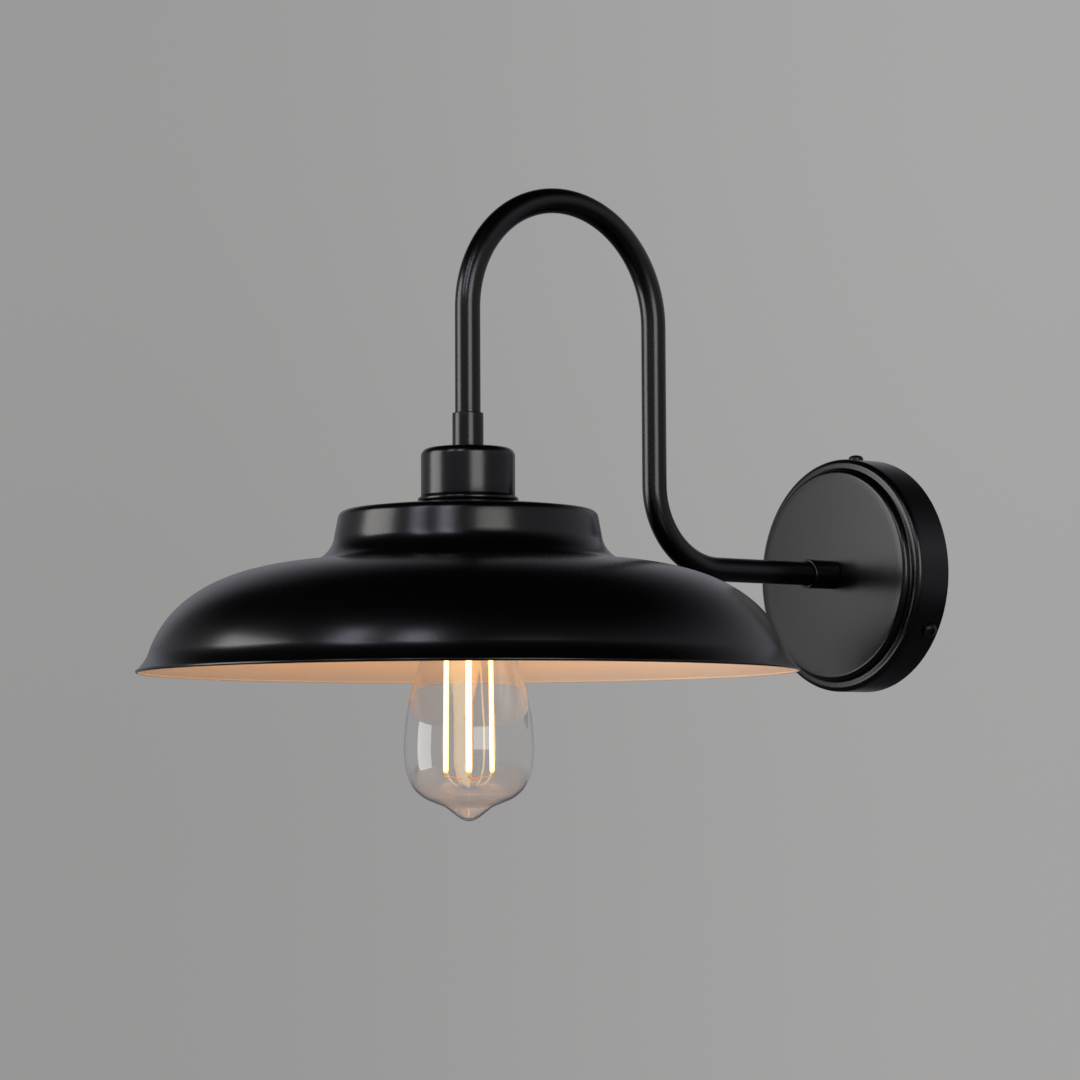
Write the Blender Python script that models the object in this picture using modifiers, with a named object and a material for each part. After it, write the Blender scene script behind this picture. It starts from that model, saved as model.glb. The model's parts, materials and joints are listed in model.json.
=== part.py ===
"""Swan-neck outdoor wall lantern: canopy on a wall, bent tube arm, spun shade, lampholder and bulb.

Metres, +Z up. The wall is the plane y = 0 and the lantern stands out towards -Y, so +X is to the right
for someone who faces it. The origin is where the axis of the arm's lower end meets the wall.
"""

import math

import bmesh
import bpy
from mathutils import Matrix, Vector

MM = 0.001
CLEARANCE = 0.3 * MM  # kept between pieces that touch on the real lantern
FULL_TURN = 2 * math.pi

# Overall places
REACH = 270 * MM  # wall to the shade's axis
RISER_REACH = 150 * MM  # wall to the riser's axis
ARCH_HEIGHT = 124.5 * MM  # arm axis at the wall up to the arch's centre
BEND_RADIUS = 42.5 * MM  # centreline of the lower bend
ARCH_RADIUS = (REACH - RISER_REACH) / 2

# Arm tube and the collars that end it
TUBE_RADIUS = 6.35 * MM
TUBE_WALL = 1.0 * MM
COLLAR_RADIUS = 7.75 * MM
COLLAR_LENGTH = 17.5 * MM
COLLAR_EDGE = 0.6 * MM
SOCKET_DEPTH = 10 * MM  # how far the tube sits in a collar

# M10 hollow nipples, nuts and lock washers
NIPPLE_RADIUS = 5.0 * MM
NIPPLE_BORE = 3.5 * MM
NUT_ACROSS_FLATS = 14 * MM
NUT_THICKNESS = 3.0 * MM
WASHER_RADIUS = 9.0 * MM
WASHER_THICKNESS = 1.0 * MM

# Canopy and what holds it to the wall
CANOPY_RADIUS = 63 * MM
CANOPY_DEPTH = 26.5 * MM
CANOPY_WALL = 1.2 * MM
CANOPY_FACE_RADIUS = 54.6 * MM
CANOPY_FACE_EDGE = 2.6 * MM
CANOPY_STEP = 4.6 * MM
CANOPY_SHOULDER = 3.0 * MM
GASKET_THICKNESS = 1.5 * MM
PLATE_RADIUS = 54 * MM
PLATE_THICKNESS = 1.5 * MM
PLATE_HOLE_RADIUS = 10 * MM
TAB_WIDTH = 14 * MM
TAB_HEIGHT = 11 * MM
TAB_GAP = 1.3 * MM  # keeps a tab's flat face clear of the canopy's round wall
SLOT_REACH = 35 * MM  # plate centre to a wall screw
SLOT_LENGTH = 16 * MM
SLOT_WIDTH = 5 * MM
SCREW_RADIUS = 2.0 * MM
SCREW_LENGTH = 8 * MM
SCREW_HEAD_RADIUS = 4.0 * MM
SCREW_HEAD_HEIGHT = 2.8 * MM
SCREW_FROM_WALL = 7.2 * MM
CANOPY_SCREWS = {"top": 90, "right": -30, "left": 210}  # degrees round the canopy from +X

# Terminal block and earth point
BLOCK_SIZE = Vector((32, 15, 13)) * MM
BLOCK_DROP = 31 * MM  # arm axis down to the block's middle
POLE_PITCH = 10 * MM
BARREL_RADIUS = 2.5 * MM
CLAMP_SCREW_RADIUS = 1.6 * MM
CLAMP_SCREW_OFFSET = 3.8 * MM
EARTH_RISE = 26 * MM
LUG_RADIUS = 4.0 * MM
LUG_THICKNESS = 0.8 * MM
CORE_RADIUS = 1.1 * MM
CORE_OFFSET = 1.5 * MM

# Socket cup and its base ring
CUP_RADIUS = 23.4 * MM
CUP_TOP = 54.2 * MM
CUP_HEIGHT = 23.9 * MM
CUP_CORNER = 4.0 * MM
CUP_WALL = 1.2 * MM
BASE_RING_RADIUS = 25 * MM
BASE_RING_HEIGHT = 2.7 * MM

# Shade: a slightly domed top, a drum, a concave fillet, a saucer and a flared lip
SHADE_WALL = 1.0 * MM
DOME_RISE = 4.0 * MM
DRUM_RADIUS = 60.6 * MM
DRUM_CORNER = 4.0 * MM
FILLET_RADIUS = 15.5 * MM
FILLET_CENTRE = Vector((81.5, 12.7)) * MM
SAUCER_CENTRE = Vector((60.0, -75.3)) * MM
SAUCER_HALF = Vector((100.7, 73.0)) * MM
SAUCER_POWER = 2.54
SAUCER_START = 80 * MM
SAUCER_END = 157.3 * MM
LIP_RADIUS = 163 * MM
LIP_DROP = 8.2 * MM

# Lampholder
SKIRT_RADIUS = 19.7 * MM
SKIRT_BORE = 14.6 * MM
SKIRT_LENGTH = 41 * MM
SHOULDER_RADIUS = 21.8 * MM
SHOULDER_HEIGHT = 3.9 * MM
SPIGOT_RADIUS = 18.6 * MM
SPIGOT_HEIGHT = 9 * MM
HOLDER_CAP_RADIUS = 21.4 * MM
HOLDER_ROOF = 5.2 * MM
RING_RADIUS = 28 * MM
RING_HEIGHT = 6 * MM
SKIRT_CLEARANCE = 0.4 * MM
HOLDER_BASE_HEIGHT = 12 * MM
HOLDER_SCREW_SPREAD = 8 * MM
HOLDER_SCREW_HEAD = 1.5 * MM
CONTACT_THICKNESS = 0.8 * MM

# E27 thread, shared by the bulb's cap and the lampholder's shell
THREAD_PITCH = 3.629 * MM
THREAD_MEAN_RADIUS = 12.675 * MM
THREAD_HALF_DEPTH = 0.525 * MM
THREAD_CLEARANCE = 0.7 * MM
THREAD_ROWS = 4  # rows of faces to a pitch
THREAD_STEPS = 24

# Bulb, with heights measured down from the tip of its cap
BULB_TIP_HEIGHT = 12 * MM
BULB_LENGTH = 142 * MM
BULB_RADIUS = 32 * MM
NECK_RADIUS = 12.6 * MM
NECK_DEPTH = 23.8 * MM
GLASS_WALL = 0.8 * MM
FILAMENT_COUNT = 6
FILAMENT_RADIUS = 0.9 * MM
FILAMENT_TOP = -43 * MM
FILAMENT_LENGTH = 64 * MM
FILAMENT_TOP_SPREAD = 12.6 * MM
FILAMENT_LOW_SPREAD = 13.2 * MM
FILAMENT_TURN = math.radians(-39)
LINK_RADIUS = 0.3 * MM

# Places that follow from the sizes above
SHADE_TOP = CUP_TOP - CUP_HEIGHT - BASE_RING_HEIGHT - 2 * CLEARANCE
SHADE_HOLE_RADIUS = SKIRT_RADIUS + SKIRT_CLEARANCE
HOLE_RADIUS = NIPPLE_RADIUS + CLEARANCE
TUBE_HOLE_RADIUS = TUBE_RADIUS + CLEARANCE
COLLAR_STEP = COLLAR_LENGTH - SOCKET_DEPTH
SHOULDER_LOW = SHADE_TOP + CLEARANCE
SHOULDER_HIGH = SHOULDER_LOW + SHOULDER_HEIGHT
SKIRT_LOW = SHOULDER_LOW - SKIRT_LENGTH
SHELL_HIGH = BULB_TIP_HEIGHT + CLEARANCE + CONTACT_THICKNESS + 2 * CLEARANCE
HOLDER_BASE_LOW = SHELL_HIGH + CLEARANCE
HOLDER_BASE_HIGH = HOLDER_BASE_LOW + HOLDER_BASE_HEIGHT
HOLDER_SCREW_HIGH = HOLDER_BASE_HIGH + CLEARANCE + HOLDER_SCREW_HEAD
CUP_NUT_HIGH = CUP_TOP - CUP_WALL - WASHER_THICKNESS - 2 * CLEARANCE
HOLDER_CAP_HIGH = CUP_NUT_HIGH - NUT_THICKNESS - CLEARANCE
PLATE_LOW = GASKET_THICKNESS + CLEARANCE
PLATE_HIGH = PLATE_LOW + PLATE_THICKNESS
FILAMENT_LOW = FILAMENT_TOP - FILAMENT_LENGTH


def clear_scene():
    for old in list(bpy.data.objects):
        bpy.data.objects.remove(old, do_unlink=True)


def collection(name, hidden=False):
    made = bpy.data.collections.new(name)
    made.hide_render = hidden
    bpy.context.scene.collection.children.link(made)
    return made


def material(name, colour, roughness, metallic=0.0, transmission=0.0, glow=0.0):
    made = bpy.data.materials.new(name)
    made.use_nodes = True
    shader = made.node_tree.nodes["Principled BSDF"]
    shader.inputs["Base Color"].default_value = (*colour, 1)
    shader.inputs["Roughness"].default_value = roughness
    shader.inputs["Metallic"].default_value = metallic
    shader.inputs["Transmission Weight"].default_value = transmission
    shader.inputs["Emission Color"].default_value = (*colour, 1)
    shader.inputs["Emission Strength"].default_value = glow
    made.diffuse_color = (*colour, 1)
    return made


def frame(name, place, turn=(0, 0, 0)):
    """An empty that carries the pieces which share one axis."""
    empty = bpy.data.objects.new(name, None)
    empty.empty_display_size = 20 * MM
    empty.location = place
    empty.rotation_euler = turn
    PIECES.objects.link(empty)
    return empty


def add(name, data, finish, parent, group=None):
    obj = bpy.data.objects.new(name, data)
    (group or PIECES).objects.link(obj)
    obj.parent = parent
    if finish:
        obj.data.materials.append(finish)
    return obj


def arc(centre, radius, start, end, count):
    """Points of a circular arc of (radius, height) values, with its angles in degrees."""
    angles = [math.radians(start + (end - start) * i / count) for i in range(count + 1)]
    return [(centre[0] + radius * math.cos(a), centre[1] + radius * math.sin(a)) for a in angles]


def smooth(points, count):
    """A Catmull-Rom curve through the points, with count steps to each stretch."""
    ends = [2 * Vector(points[0]) - Vector(points[1]), 2 * Vector(points[-1]) - Vector(points[-2])]
    all_points = [ends[0], *map(Vector, points), ends[1]]
    curve = []
    for a, b, c, d in zip(all_points, all_points[1:], all_points[2:], all_points[3:]):
        for i in range(count):
            t = i / count
            bend = (2 * a - 5 * b + 4 * c - d) * t**2 + (3 * b - a - 3 * c + d) * t**3
            curve.append(0.5 * (2 * b + (c - a) * t + bend))
    return curve + [all_points[-2]]


def turned(name, outline, finish, parent, steps=24, closed=False, wall=0.0, group=None):
    """An outline of (radius, height) points spun about Z.

    The outline runs down the outer side, then back up any bore. A wall thickens an open outline
    inwards, into a shell.
    """
    mesh = bpy.data.meshes.new(name)
    count = len(outline)
    edges = [(i, (i + 1) % count) for i in range(count if closed else count - 1)]
    mesh.from_pydata([(point[0], 0, point[1]) for point in outline], edges, [])
    obj = add(name, mesh, finish, parent, group)
    spin = obj.modifiers.new("Spin", "SCREW")
    spin.steps = steps
    spin.render_steps = steps
    spin.use_merge_vertices = True
    spin.merge_threshold = 0.01 * MM
    spin.use_smooth_shade = True
    if wall:
        shell = obj.modifiers.new("Wall", "SOLIDIFY")
        shell.thickness = wall
        shell.offset = -1
        shell.use_even_offset = True
    return obj


def sleeve(name, inner, outer, low, high, finish, parent, steps=24):
    """A plain ring with square edges."""
    outline = [(outer, high), (outer, low), (inner, low), (inner, high)]
    return turned(name, outline, finish, parent, steps, closed=True)


def settle(obj):
    """Bakes the object's modifiers into its mesh, so that its points can be moved."""
    bpy.context.view_layer.update()
    graph = bpy.context.evaluated_depsgraph_get()
    mesh = bpy.data.meshes.new_from_object(obj.evaluated_get(graph))
    obj.modifiers.clear()
    obj.data = mesh


def meshed(curve):
    """Replaces a curve with a mesh of the same name, for a modifier that needs one."""
    bpy.context.view_layer.update()
    graph = bpy.context.evaluated_depsgraph_get()
    mesh = bpy.data.meshes.new_from_object(curve.evaluated_get(graph))
    name, parent, place = curve.name, curve.parent, curve.matrix_local.copy()
    bpy.data.objects.remove(curve, do_unlink=True)
    build = bmesh.new()
    build.from_mesh(mesh)
    bmesh.ops.remove_doubles(build, verts=build.verts, dist=0.001 * MM)
    build.to_mesh(mesh)
    build.free()
    obj = add(name, mesh, None, parent)
    obj.matrix_local = place
    return obj


def roll_thread(obj, mean_radius, low, high):
    """Pushes the points on a thread's radius in and out along a right-handed helix."""
    for vertex in obj.data.vertices:
        x, y, z = vertex.co
        radius = math.hypot(x, y)
        if abs(radius - mean_radius) > 0.01 * MM or not low < z < high:
            continue
        fade = min(1, (z - low) / THREAD_PITCH, (high - z) / THREAD_PITCH)
        wave = math.cos(FULL_TURN * z / THREAD_PITCH - math.atan2(y, x))
        scale = 1 + fade * THREAD_HALF_DEPTH * wave / radius
        vertex.co = (x * scale, y * scale, z)


def rows(radius, high, low):
    """A thread's straight outline, cut into rows fine enough to carry its wave."""
    count = math.ceil(abs(high - low) / THREAD_PITCH * THREAD_ROWS)
    return [(radius, high + (low - high) * i / count) for i in range(count + 1)]


def box(name, size, place, finish, parent, turn=0.0, group=None):
    """A box of the given size, at a place in its parent's frame, turned about that frame's Z."""
    build = bmesh.new()
    bmesh.ops.create_cube(build, size=1.0, matrix=Matrix.Diagonal((*size, 1)))
    mesh = bpy.data.meshes.new(name)
    build.to_mesh(mesh)
    build.free()
    obj = add(name, mesh, finish, parent, group)
    obj.matrix_local = Matrix.Rotation(turn, 4, "Z") @ Matrix.Translation(place)
    return obj


def rod(name, radius, start, end, finish, parent, sides=12, group=None):
    """A solid round bar between two points of its parent's frame."""
    start, end = Vector(start), Vector(end)
    build = bmesh.new()
    length = (end - start).length
    bmesh.ops.create_cone(build, cap_ends=True, segments=sides, radius1=radius, radius2=radius, depth=length)
    mesh = bpy.data.meshes.new(name)
    build.to_mesh(mesh)
    build.free()
    mesh.shade_smooth()
    mesh.set_sharp_from_angle(angle=math.radians(40))
    obj = add(name, mesh, finish, parent, group)
    aim = (end - start).to_track_quat("Z", "Y").to_matrix().to_4x4()
    obj.matrix_local = Matrix.Translation((start + end) / 2) @ aim
    return obj


def circle(radius, count=24, centre=(0, 0)):
    angles = [FULL_TURN * i / count for i in range(count)]
    return [(centre[0] + radius * math.cos(a), centre[1] + radius * math.sin(a)) for a in angles]


def flat(name, loops, low, high, finish, parent):
    """A flat piece: the first loop of points is its outline and the others are its holes."""
    curve = bpy.data.curves.new(name, "CURVE")
    curve.dimensions = "2D"
    curve.fill_mode = "BOTH"
    curve.extrude = (high - low) / 2
    for points in loops:
        loop = curve.splines.new("POLY")
        loop.points.add(len(points) - 1)
        for point, place in zip(loop.points, points):
            point.co = (*place, 0, 1)
        loop.use_cyclic_u = True
    obj = add(name, curve, finish, parent)
    obj.location.z = (low + high) / 2
    return obj


def wire(name, route, radius, finish, parent=None, roundness=2, capped=True):
    """A round wire or tube along a list of points."""
    curve = bpy.data.curves.new(name, "CURVE")
    curve.dimensions = "3D"
    curve.bevel_depth = radius
    curve.bevel_resolution = roundness
    curve.use_fill_caps = capped
    line = curve.splines.new("POLY")
    line.points.add(len(route) - 1)
    for point, place in zip(line.points, route):
        point.co = (*place, 1)
    return add(name, curve, finish, parent)


def combine(obj, other, operation):
    """A Boolean with a helper, which the render leaves out."""
    other.hide_render = True
    other.display_type = "WIRE"
    change = obj.modifiers.new(other.name, "BOOLEAN")
    change.operation = operation
    change.object = other


def arm_route(x, start, end, step):
    """Centreline of the arm: out from the wall, up the riser, over the arch and down to the shade.

    x shifts it sideways, start is its distance from the wall, end is the height where it stops, and step
    is the angle in degrees between points on its bends.
    """
    bend_reach = RISER_REACH - BEND_RADIUS
    bend = arc((bend_reach, BEND_RADIUS), BEND_RADIUS, -90, 0, round(90 / step))
    arch = arc((RISER_REACH + ARCH_RADIUS, ARCH_HEIGHT), ARCH_RADIUS, 180, 0, round(180 / step))
    points = [(start, 0), *bend, *arch, (REACH, end)]
    return [Vector((x, -reach, height)) for reach, height in points]


def drum_profile():
    """The shade's outer outline from its hole to its lip."""
    top_edge = SHADE_TOP - DOME_RISE
    dome_middle = ((SHADE_HOLE_RADIUS + DRUM_RADIUS) / 2, SHADE_TOP - 0.42 * DOME_RISE)
    dome = [(SHADE_HOLE_RADIUS, SHADE_TOP), dome_middle]
    corner = arc((DRUM_RADIUS, top_edge - DRUM_CORNER), DRUM_CORNER, 84, 10, 3)
    fillet = arc(FILLET_CENTRE, FILLET_RADIUS, 192, 264, 5)
    saucer = []
    steps = 7
    for i in range(steps + 1):
        # Even steps of the quarter wave put the points closer together where the saucer turns down.
        share = math.sin(math.pi / 2 * i / steps)
        radius = SAUCER_START + (SAUCER_END - SAUCER_START) * share
        across = abs((radius - SAUCER_CENTRE.x) / SAUCER_HALF.x) ** SAUCER_POWER
        saucer.append((radius, SAUCER_CENTRE.y + SAUCER_HALF.y * (1 - across) ** (1 / SAUCER_POWER)))
    end_height = saucer[-1][1]
    flare = LIP_RADIUS - SAUCER_END
    lip = []
    for share in (0.45, 0.75, 1):
        radius = SAUCER_END + flare * (0.52 * share + 0.48 * share**2)
        lip.append((radius, end_height - LIP_DROP * share))
    return dome + corner + fillet + saucer[1:] + lip


def canopy_profile():
    """The canopy's outer outline: flat face, rounded edge, small cove, shelf, rounded shoulder and side."""
    edge_low = CANOPY_DEPTH - CANOPY_FACE_EDGE
    side = CANOPY_FACE_RADIUS + CANOPY_FACE_EDGE
    cove = 1.2 * MM
    shelf = CANOPY_DEPTH - CANOPY_STEP
    shoulder = (CANOPY_RADIUS - CANOPY_SHOULDER, shelf - CANOPY_SHOULDER)
    outline = [(HOLE_RADIUS, CANOPY_DEPTH)]
    outline += arc((CANOPY_FACE_RADIUS, edge_low), CANOPY_FACE_EDGE, 90, 0, 3)
    outline += arc((side + cove, shelf + cove), cove, 190, 270, 2)
    outline += arc(shoulder, CANOPY_SHOULDER, 90, 0, 3)
    return outline + [(CANOPY_RADIUS, CLEARANCE)]


def collar_outline(low):
    """A collar with its stepped bore: the nipple's size at the low end, and the tube's above the step."""
    high = low + COLLAR_LENGTH
    edge = COLLAR_RADIUS - COLLAR_EDGE
    step = low + COLLAR_STEP
    outer = [(edge, high), (COLLAR_RADIUS, high - COLLAR_EDGE), (COLLAR_RADIUS, low)]
    bore = [(HOLE_RADIUS, low), (HOLE_RADIUS, step), (TUBE_HOLE_RADIUS, step), (TUBE_HOLE_RADIUS, high)]
    return outer + bore


def pan_screw(name, angle, parent):
    """A pan head screw with a cross recess, which enters the canopy's side towards its axis."""
    head = CANOPY_RADIUS + CLEARANCE
    crown = head + SCREW_HEAD_HEIGHT
    outline = [(0, crown), (0.5 * SCREW_HEAD_RADIUS, crown - 0.25 * MM)]
    outline += [(0.88 * SCREW_HEAD_RADIUS, crown - 1.0 * MM), (SCREW_HEAD_RADIUS, head + 0.9 * MM)]
    outline += [(SCREW_HEAD_RADIUS, head), (SCREW_RADIUS, head)]
    outline += [(SCREW_RADIUS, head - SCREW_LENGTH + MM), (0, head - SCREW_LENGTH)]
    obj = turned(name, outline, FINISH["screw"], parent, steps=16)
    turn = Matrix.Rotation(math.radians(angle), 4, "Z") @ Matrix.Translation((0, 0, SCREW_FROM_WALL))
    obj.matrix_local = turn @ Matrix.Rotation(math.pi / 2, 4, "Y")
    for i, size in enumerate(((4.6, 0.9), (0.9, 4.6))):
        slot = box(f"{name}_recess_{i}", Vector((*size, 3.2)) * MM, (0, 0, 0), None, obj, group=CUTTERS)
        slot.matrix_local = Matrix.Translation((0, 0, crown))
        combine(obj, slot, "DIFFERENCE")
    return obj


def side_hole(obj, name, angle, inner, outer, parent):
    """A clearance hole for a canopy screw, between two distances from the canopy's axis."""
    radius = SCREW_RADIUS + CLEARANCE
    direction = Vector((math.cos(math.radians(angle)), math.sin(math.radians(angle)), 0))
    lift = Vector((0, 0, SCREW_FROM_WALL))
    start, end = inner * direction + lift, outer * direction + lift
    combine(obj, rod(name, radius, start, end, None, parent, group=CUTTERS), "DIFFERENCE")


def build_mounting(wall):
    """Gasket, mounting plate with its three bent tabs, and the terminal block with its poles."""
    gasket_radius = PLATE_RADIUS - CLEARANCE
    sleeve("wall_gasket", PLATE_HOLE_RADIUS, gasket_radius, 0, GASKET_THICKNESS, FINISH["foam"], wall, 32)
    tab_face = CANOPY_RADIUS - CANOPY_WALL - TAB_GAP
    foot_end = tab_face - 0.5 * PLATE_THICKNESS
    outline = []
    for angle in sorted(CANOPY_SCREWS.values()):
        half_width = math.degrees(math.asin(TAB_WIDTH / 2 / PLATE_RADIUS))
        turn = Matrix.Rotation(math.radians(angle), 2)
        outline += [turn @ Vector((foot_end, side * TAB_WIDTH / 2)) for side in (-1, 1)]
        outline += arc((0, 0), PLATE_RADIUS, angle + half_width, angle + 120 - half_width, 10)
    slots = []
    straight = (SLOT_LENGTH - SLOT_WIDTH) / 2
    for side in (-1, 1):
        middle = side * SLOT_REACH
        top = arc((middle, straight), SLOT_WIDTH / 2, 0, 180, 6)
        slots.append(top + arc((middle, -straight), SLOT_WIDTH / 2, 180, 360, 6))
    holes = [circle(PLATE_HOLE_RADIUS), circle(SCREW_RADIUS + CLEARANCE, 12, (0, EARTH_RISE)), *slots]
    plate = meshed(flat("mounting_plate", [outline, *holes], PLATE_LOW, PLATE_HIGH, FINISH["zinc"], wall))
    tab_size = (PLATE_THICKNESS, TAB_WIDTH + CLEARANCE, TAB_HEIGHT)
    tab_place = (tab_face - PLATE_THICKNESS / 2, 0, PLATE_LOW + 0.2 * PLATE_THICKNESS + TAB_HEIGHT / 2)
    for side, angle in CANOPY_SCREWS.items():
        tab = box(f"tab_{side}", tab_size, tab_place, None, wall, math.radians(angle), CUTTERS)
        combine(plate, tab, "UNION")
        side_hole(plate, f"tab_hole_{side}", angle, tab_face - 5 * MM, tab_face + 5 * MM, wall)
    build_terminals(wall)


def pole_shapes(name, x, extra, group, finish, parent):
    """A pole's barrel and its two clamp screws, or the bores that hold them when extra is the clearance."""
    middle = Vector((x, -BLOCK_DROP, PLATE_HIGH + CLEARANCE + BLOCK_SIZE.z / 2))
    half = Vector((0, BLOCK_SIZE.y / 2 - 0.5 * MM + 3 * extra, 0))
    barrel = rod(name, BARREL_RADIUS + extra, middle - half, middle + half, finish, parent, group=group)
    lift = Vector((0, 0, BLOCK_SIZE.z / 2 - 0.6 * MM + 4 * extra))
    screws = []
    for i in (-1, 1):
        foot = middle + Vector((0, i * CLAMP_SCREW_OFFSET, 0))
        screw_name = f"{name}_screw_{i}"
        radius = CLAMP_SCREW_RADIUS + extra
        screws.append(rod(screw_name, radius, foot, foot + lift, None, parent, 10, CUTTERS))
    return barrel, screws


def build_terminals(wall):
    """A three-pole terminal block on the plate, and the earth screw with its ring lug."""
    middle = (0, -BLOCK_DROP, PLATE_HIGH + CLEARANCE + BLOCK_SIZE.z / 2)
    block = box("terminal_block", BLOCK_SIZE, middle, FINISH["white_plastic"], wall)
    for i, pole in enumerate(("live", "earth", "neutral")):
        x = (i - 1) * POLE_PITCH
        barrel, screws = pole_shapes(f"terminal_{pole}", x, 0, None, FINISH["brass"], wall)
        for screw in screws:
            combine(barrel, screw, "UNION")
        bore, screw_bores = pole_shapes(f"bore_{pole}", x, CLEARANCE, CUTTERS, None, wall)
        for cutter in (bore, *screw_bores):
            combine(block, cutter, "DIFFERENCE")
    lug_low = PLATE_HIGH + CLEARANCE
    lug_high = lug_low + LUG_THICKNESS
    lug = sleeve("earth_lug", SCREW_RADIUS + CLEARANCE, LUG_RADIUS, lug_low, lug_high, FINISH["zinc"], wall)
    lug.location = (0, EARTH_RISE, 0)
    tail_size = (8 * MM, 2.4 * MM, LUG_THICKNESS)
    tail_place = (LUG_RADIUS + 2.6 * MM, 0, (lug_low + lug_high) / 2)
    tail = box("lug_tail", tail_size, tail_place, None, lug, group=CUTTERS)
    combine(lug, tail, "UNION")
    head_low = lug_high + CLEARANCE
    outline = [(0, head_low + 2.4 * MM), (2.4 * MM, head_low + 2.1 * MM), (3.7 * MM, head_low + 1.2 * MM)]
    outline += [(3.8 * MM, head_low), (SCREW_RADIUS, head_low), (SCREW_RADIUS, PLATE_LOW), (0, PLATE_LOW)]
    screw = turned("earth_screw", outline, FINISH["brass"], wall, steps=16)
    screw.location = (0, EARTH_RISE, 0)


def build_canopy(wall):
    """Canopy with its screws, and the nipple, nut and washer that hold the arm's collar to it."""
    canopy = turned("canopy", canopy_profile(), FINISH["black"], wall, steps=36, wall=CANOPY_WALL)
    for side, angle in CANOPY_SCREWS.items():
        inner = CANOPY_RADIUS - 6 * MM
        side_hole(canopy, f"hole_{side}", angle, inner, CANOPY_RADIUS + 5 * MM, wall)
        pan_screw(f"canopy_screw_{side}", angle, wall)
    collar_low = CANOPY_DEPTH + CLEARANCE
    turned("wall_collar", collar_outline(collar_low), FINISH["black"], wall, closed=True)
    washer_high = CANOPY_DEPTH - CANOPY_WALL - CLEARANCE
    washer_low = washer_high - WASHER_THICKNESS
    sleeve("wall_lock_washer", HOLE_RADIUS, WASHER_RADIUS, washer_low, washer_high, FINISH["zinc"], wall)
    nut_high = washer_low - CLEARANCE
    nut_radius = NUT_ACROSS_FLATS / 2 / math.cos(math.pi / 6)
    nut = [circle(nut_radius, 6), circle(HOLE_RADIUS)]
    flat("wall_nut", nut, nut_high - NUT_THICKNESS, nut_high, FINISH["zinc"], wall)
    nipple_low = nut_high - NUT_THICKNESS - 2.5 * MM
    nipple_high = collar_low + COLLAR_STEP - CLEARANCE
    sleeve("wall_nipple", NIPPLE_BORE, NIPPLE_RADIUS, nipple_low, nipple_high, FINISH["zinc"], wall)


def build_arm():
    """The bent tube, a shell made from a bevelled curve."""
    start = CANOPY_DEPTH + CLEARANCE + COLLAR_STEP + CLEARANCE
    end = CUP_TOP + CLEARANCE + COLLAR_STEP + CLEARANCE
    route = arm_route(0, start, end, 10)
    tube = meshed(wire("arm_tube", route, TUBE_RADIUS, FINISH["black"], roundness=4, capped=False))
    tube.data.shade_smooth()
    shell = tube.modifiers.new("Wall", "SOLIDIFY")
    shell.thickness = TUBE_WALL
    shell.offset = -1


def build_wiring():
    """Two cores from the terminal block through the arm to the lampholder, and the short earth lead."""
    block_top = -BLOCK_DROP + BLOCK_SIZE.y / 2 + CLEARANCE
    block_reach = PLATE_HIGH + CLEARANCE + BLOCK_SIZE.z / 2
    for name, side in (("live", -1), ("neutral", 1)):
        x = side * CORE_OFFSET
        pole = side * POLE_PITCH
        lead_in = [Vector((pole, -block_reach, block_top)), Vector((pole, -block_reach, block_top + 5 * MM))]
        lead_in.append(Vector((side * 6 * MM, -0.95 * block_reach, -9 * MM)))
        lead_in.append(Vector((side * 2.6 * MM, -12 * MM, -3 * MM)))
        route = arm_route(x, 17 * MM, HOLDER_CAP_HIGH - 6 * MM, 22.5)
        terminal = Vector((side * HOLDER_SCREW_SPREAD, -REACH, HOLDER_SCREW_HIGH + CLEARANCE))
        bend = terminal + Vector((-side * 3 * MM, 0, 7 * MM))
        lead_out = [bend, terminal + Vector((0, 0, 3 * MM)), terminal]
        wire(f"{name}_wire", lead_in + route + lead_out, CORE_RADIUS, FINISH[f"{name}_core"])
    tail = Vector((LUG_RADIUS + 6.6 * MM + CORE_RADIUS, -PLATE_HIGH - CLEARANCE - CORE_RADIUS, EARTH_RISE))
    route = [tail, tail + Vector((5, -1, -2)) * MM, Vector((24, -12, 10)) * MM, Vector((24, -17, -6)) * MM]
    route += [Vector((14, -19, -14)) * MM, Vector((3, -14, -17)) * MM, Vector((0, -block_reach, block_top))]
    wire("earth_wire", smooth(route, 3), CORE_RADIUS, FINISH["earth_core"])


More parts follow.
